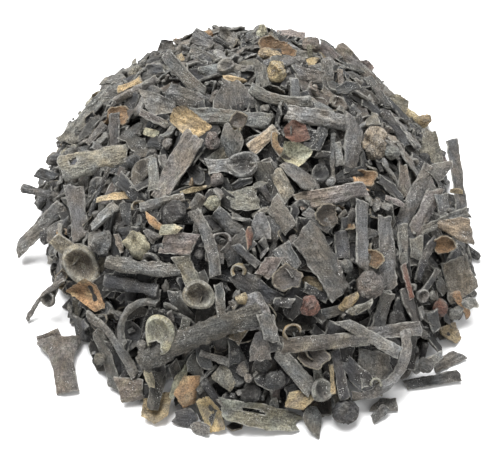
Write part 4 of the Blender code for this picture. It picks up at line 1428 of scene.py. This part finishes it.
shade_colour = group.nodes.new("ShaderNodeCombineColor")
for channel in ("Red", "Green", "Blue"):
    group.links.new(shade, shade_colour.inputs[channel])
warmth = ranged(group, noise(group, given.outputs["Place"], 0.17), 0.38, 0.62)
COOL, WARM = (0.97, 1.0, 1.05, 1), (1.09, 1.0, 0.89, 1)
hue = mixed(group, "MIX", warmth, COOL, WARM)
patched = mixed(group, "MULTIPLY", 1.0, given.outputs["Tone"], hue)
grained = mixed(group, "MULTIPLY", 1.0, patched, shade_colour.outputs["Color"])
group.links.new(grained, result.inputs["Color"])
group.links.new(speckle, result.inputs["Height"])

# %% Wrinkles along a piece
group, given, result = new_group(
    "long_wrinkles",
    [("Place", "NodeSocketVector", None), ("Spacing", "NodeSocketFloat", 1.0)],
    [("Height", "NodeSocketFloat")],
)
stretch = group.nodes.new("ShaderNodeVectorMath")
stretch.operation = "MULTIPLY"
stretch.inputs[1].default_value = (0.3, 1.0, 1.0)  # the spots are drawn out along the piece
group.links.new(given.outputs["Place"], stretch.inputs[0])
wrinkle_scale = math_node(group, "DIVIDE", 1.1, given.outputs["Spacing"])
furrows = noise(group, stretch.outputs[0], wrinkle_scale, roughness=0.55)
group.links.new(furrows, result.inputs["Height"])

# %% Pale edges, partly worn and partly a painted highlight
group, given, result = new_group(
    "worn_edge",
    [
        ("Place", "NodeSocketVector", None),
        ("Edge", "NodeSocketFloat", 0.0),
        ("Strength", "NodeSocketFloat", 0.5),
    ],
    [("Mask", "NodeSocketFloat")],
)
edge_patchiness = ranged(group, noise(group, given.outputs["Place"], 0.9), 0.40, 0.66)
edge_mask = math_node(group, "MULTIPLY", given.outputs["Edge"], edge_patchiness)
edge_mask = math_node(group, "MULTIPLY", edge_mask, given.outputs["Strength"], clamp=True)
group.links.new(edge_mask, result.inputs["Mask"])

# %% The bloom of salt
group, given, result = new_group(
    "salt_bloom",
    [("Place", "NodeSocketVector", None), ("Amount", "NodeSocketFloat", 0.5)],
    [("Mask", "NodeSocketFloat")],
)
clouds = noise(group, given.outputs["Place"], 0.22, detail=2)
dots = noise(group, given.outputs["Place"], 4.0, detail=2, roughness=0.5)
salt = math_node(
    group, "MULTIPLY", ranged(group, clouds, 0.5, 0.68), ranged(group, dots, 0.63, 0.68)
)
salt = math_node(group, "MULTIPLY", salt, given.outputs["Amount"], clamp=True)
group.links.new(salt, result.inputs["Mask"])
effects = sorted(group.name for group in bpy.data.node_groups)
print("the shared effects are", ", ".join(effects))

# %% [markdown]
# ## The finishes
# Dry weed is dull, rough and uneven. A picture of its surface could be wrapped around each
# piece, but pictures repeat and blur close up, so each finish is one Principled shader fed by
# the effects above. Its base colour runs from the piece's tone through the grain, the wrinkles,
# whose furrows get a painted shade, the pale edges, partly worn and partly a painted highlight,
# and the salt, and the same grain and wrinkles feed a bump, so that colour and relief agree.

# %% Placing an effect in a material
# the colour of the painted shade in the furrows of the wrinkles
FURROW_SHADE = (0.3, 0.29, 0.28, 1)
SALT_WHITE = (0.62, 0.61, 0.58, 1)


def placed_group(tree, name, **values):
    """One of the shared effects, with its inputs given by name."""
    node = tree.nodes.new("ShaderNodeGroup")
    node.node_tree = bpy.data.node_groups[name]
    for socket, value in values.items():
        feed(tree, node.inputs[socket], value)
    return node


# %% A finish of dried weed
FINISHES = {}


def weed_finish(name, contrast, spacing, furrow, wear_and_highlight, wear_and_highlight_tone, salt, roughness, depth):
    """Makes a finish. furrow paints shade into the furrows, and depth is the relief in metres."""
    material = bpy.data.materials.new(name)
    material.use_nodes = True
    tree = material.node_tree
    shader = tree.nodes["Principled BSDF"]
    tone, edge, place = (tree.nodes.new("ShaderNodeAttribute") for _ in range(3))
    tone.attribute_name, edge.attribute_name, place.attribute_name = "tone", "edge", "grain"
    where = place.outputs["Vector"]
    grain = placed_group(
        tree, "velvet_grain", Place=where, Tone=tone.outputs["Color"], Contrast=contrast
    )
    wrinkles = placed_group(tree, "long_wrinkles", Place=where, Spacing=spacing)
    # The low places of the wrinkles are darkened: a painted shade in the furrows.
    furrows = ranged(tree, wrinkles.outputs["Height"], 0.35, 0.6, 1.0, 0.0)
    furrow_share = math_node(tree, "MULTIPLY", furrows, furrow)
    dark = mixed(tree, "MULTIPLY", furrow_share, grain.outputs["Color"], FURROW_SHADE)
    # The edges, and the bladder rims and wart tops that share their mark, turn paler: partly wear,
    # partly a painted highlight.
    edges = placed_group(tree, "worn_edge", Place=where, Edge=edge.outputs["Fac"], Strength=wear_and_highlight)
    pale = mixed(tree, "MIX", edges.outputs["Mask"], dark, wear_and_highlight_tone)
    bloom = placed_group(tree, "salt_bloom", Place=where, Amount=salt)
    salted = mixed(tree, "MIX", bloom.outputs["Mask"], pale, SALT_WHITE)
    tree.links.new(salted, shader.inputs["Base Color"])
    gloss = ranged(tree, grain.outputs["Height"], 0.3, 0.7, roughness - 0.1, roughness + 0.1)
    tree.links.new(gloss, shader.inputs["Roughness"])
    bump = tree.nodes.new("ShaderNodeBump")
    bump.inputs["Distance"].default_value = depth
    bump.inputs["Strength"].default_value = 0.9
    heights = grain.outputs["Height"], 0.5, wrinkles.outputs["Height"]
    relief = math_node(tree, "MULTIPLY_ADD", *heights)
    tree.links.new(relief, bump.inputs["Height"])
    tree.links.new(bump.outputs["Normal"], shader.inputs["Normal"])
    FINISHES[name] = material


# %% The three finishes
weed_finish(
    "frond_hide",
    contrast=1.05,
    spacing=1.0,
    furrow=0.5,
    wear_and_highlight=1.3,
    wear_and_highlight_tone=(0.40, 0.39, 0.35, 1),
    salt=1.5,
    roughness=0.7,
    depth=0.0019,
)
weed_finish(
    "bladder_skin",
    contrast=1.0,
    spacing=1.3,
    furrow=0.55,
    wear_and_highlight=0.9,
    wear_and_highlight_tone=(0.50, 0.44, 0.33, 1),
    salt=0.6,
    roughness=0.6,
    depth=0.0016,
)
weed_finish(
    "stalk_bark",
    contrast=1.2,
    spacing=0.7,
    furrow=0.65,
    wear_and_highlight=0.8,
    wear_and_highlight_tone=(0.36, 0.35, 0.32, 1),
    salt=1.6,
    roughness=0.8,
    depth=0.0021,
)
print("the finishes are", ", ".join(FINISHES))

# %% [markdown]
# ## From arrays to meshes
# All pieces of one kind become one mesh. Joining objects with Blender's own join would mean
# making two thousand objects first. The arrays only need their point numbers shifted, and then
# one call makes the mesh. Edges sharper than 40 degrees stay crisp, so a cut end looks cut.

# %% The slot and the finish of each mesh
FROND_MESHES = "cut_straps forked_fronds flakes torn_scraps thin_leaves curls crumbs".split()
SLOT_AND_FINISH = {
    **{name: ("dried_frond", "frond_hide") for name in FROND_MESHES},
    "collapsed_bladders": ("bladder_skin", "frond_hide"),
    "bladder_shells": ("bladder_skin", "bladder_skin"),
    "bladder_skins": ("bladder_skin", "bladder_skin"),
    "stalks": ("dried_stalk", "stalk_bark"),
    "swollen_tips": ("dried_frond", "stalk_bark"),
}
print("the scene gets", len(SLOT_AND_FINISH), "meshes and the core")


# %% Making a mesh with its attributes
def mesh_piece(name, what, finish):
    """One mesh in the scene, from what is laid. Blender gets metres."""
    mesh = bpy.data.meshes.new(name)
    mesh.from_pydata((what.points / 1000).tolist(), [], what.faces.tolist())
    opaque = np.hstack([what.colours, np.ones((len(what.colours), 1))])
    tone = mesh.attributes.new("tone", "FLOAT_COLOR", "POINT")
    tone.data.foreach_set("color", opaque.ravel())
    edge = mesh.attributes.new("edge", "FLOAT", "POINT")
    edge.data.foreach_set("value", what.edge)
    grain = mesh.attributes.new("grain", "FLOAT_VECTOR", "POINT")
    grain.data.foreach_set("vector", what.grain.ravel())
    mesh.shade_smooth()
    mesh.set_sharp_from_angle(angle=math.radians(40))
    mesh.materials.append(FINISHES[finish])
    piece = bpy.data.objects.new(name, mesh)
    bpy.context.scene.collection.objects.link(piece)
    return piece


# %% The core's mesh
# The core is darker than coal: a painted shade for the bottoms of the deep gaps.
core_shade_colour = np.tile(TONES["coal"].colour * 0.7, (len(core_points), 1))
core_edge = np.zeros(len(core_points))
core = Laid(core_points, core_faces, core_shade_colour, core_edge, core_points)
core_piece = mesh_piece("heap_core", core, "stalk_bark")
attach(core_piece, "root")
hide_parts("bladderwrack_heap")

print("the core takes the place of the solid heap")


# %% Joining the pieces of each kind
triangles = len(core_faces)
for name, (slot, finish) in SLOT_AND_FINISH.items():
    all_laid = together(laid[name])
    joined = mesh_piece(name, all_laid, finish)
    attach(joined, "root")
    triangles += len(all_laid.faces)
    print(f"{name}: {len(laid[name])} pieces, {len(all_laid.faces)} triangles")
print(triangles, "triangles in all")

# %% [markdown]
# ## The table, the light and the camera
# The photograph was taken on a white surface in soft daylight from above. Small hard lights
# would draw black lines between the pieces. A large pale floor, one wide soft light overhead
# and an even sky give soft shadows and gaps that stay open.

# %% A plain pale floor
floor_material = bpy.data.materials.new("white_table")
floor_material.use_nodes = True
floor_shader = floor_material.node_tree.nodes["Principled BSDF"]
floor_shader.inputs["Base Color"].default_value = (0.9, 0.9, 0.9, 1)
floor_shader.inputs["Roughness"].default_value = 0.9
bpy.ops.mesh.primitive_plane_add(size=6, location=(0, 0, 0))
floor = bpy.context.object
floor.name = "table_top"
floor.data.materials.append(floor_material)

# %% Soft light from above
def soft_light(name, place, size, power):
    """A square light that faces the heap."""
    light = bpy.data.lights.new(name, "AREA")
    light.size = size
    light.energy = power
    lamp = bpy.data.objects.new(name, light)
    lamp.location = place
    way = -lamp.location
    lamp.rotation_euler = way.to_track_quat("-Z", "Y").to_euler()
    bpy.context.scene.collection.objects.link(lamp)


soft_light("overhead", (-0.2, 0.3, 1.0), size=0.7, power=28.5)
soft_light("front_fill", (0.5, -0.8, 0.7), size=0.8, power=2)
print("the lamps are placed")

# %% An even sky
sky = bpy.data.worlds.new("even_sky")
sky.use_nodes = True
sky.node_tree.nodes["Background"].inputs["Color"].default_value = (1.0, 1.0, 1.0, 1)
sky.node_tree.nodes["Background"].inputs["Strength"].default_value = 0.5
bpy.context.scene.world = sky
bpy.context.scene.view_settings.view_transform = "Standard"

# %% The camera of the photograph
lens = bpy.data.cameras.new("photo_camera")
lens.sensor_width = 36
lens.lens = FOCAL_PIXELS / PICTURE_SIZE[0] * lens.sensor_width
lens.clip_start = 0.01
camera = bpy.data.objects.new("photo_camera", lens)
camera.location = CAMERA_PLACE / 1000
camera.rotation_euler = (math.pi / 2 - VIEW_TILT, 0, 0)
bpy.context.scene.collection.objects.link(camera)
bpy.context.scene.camera = camera
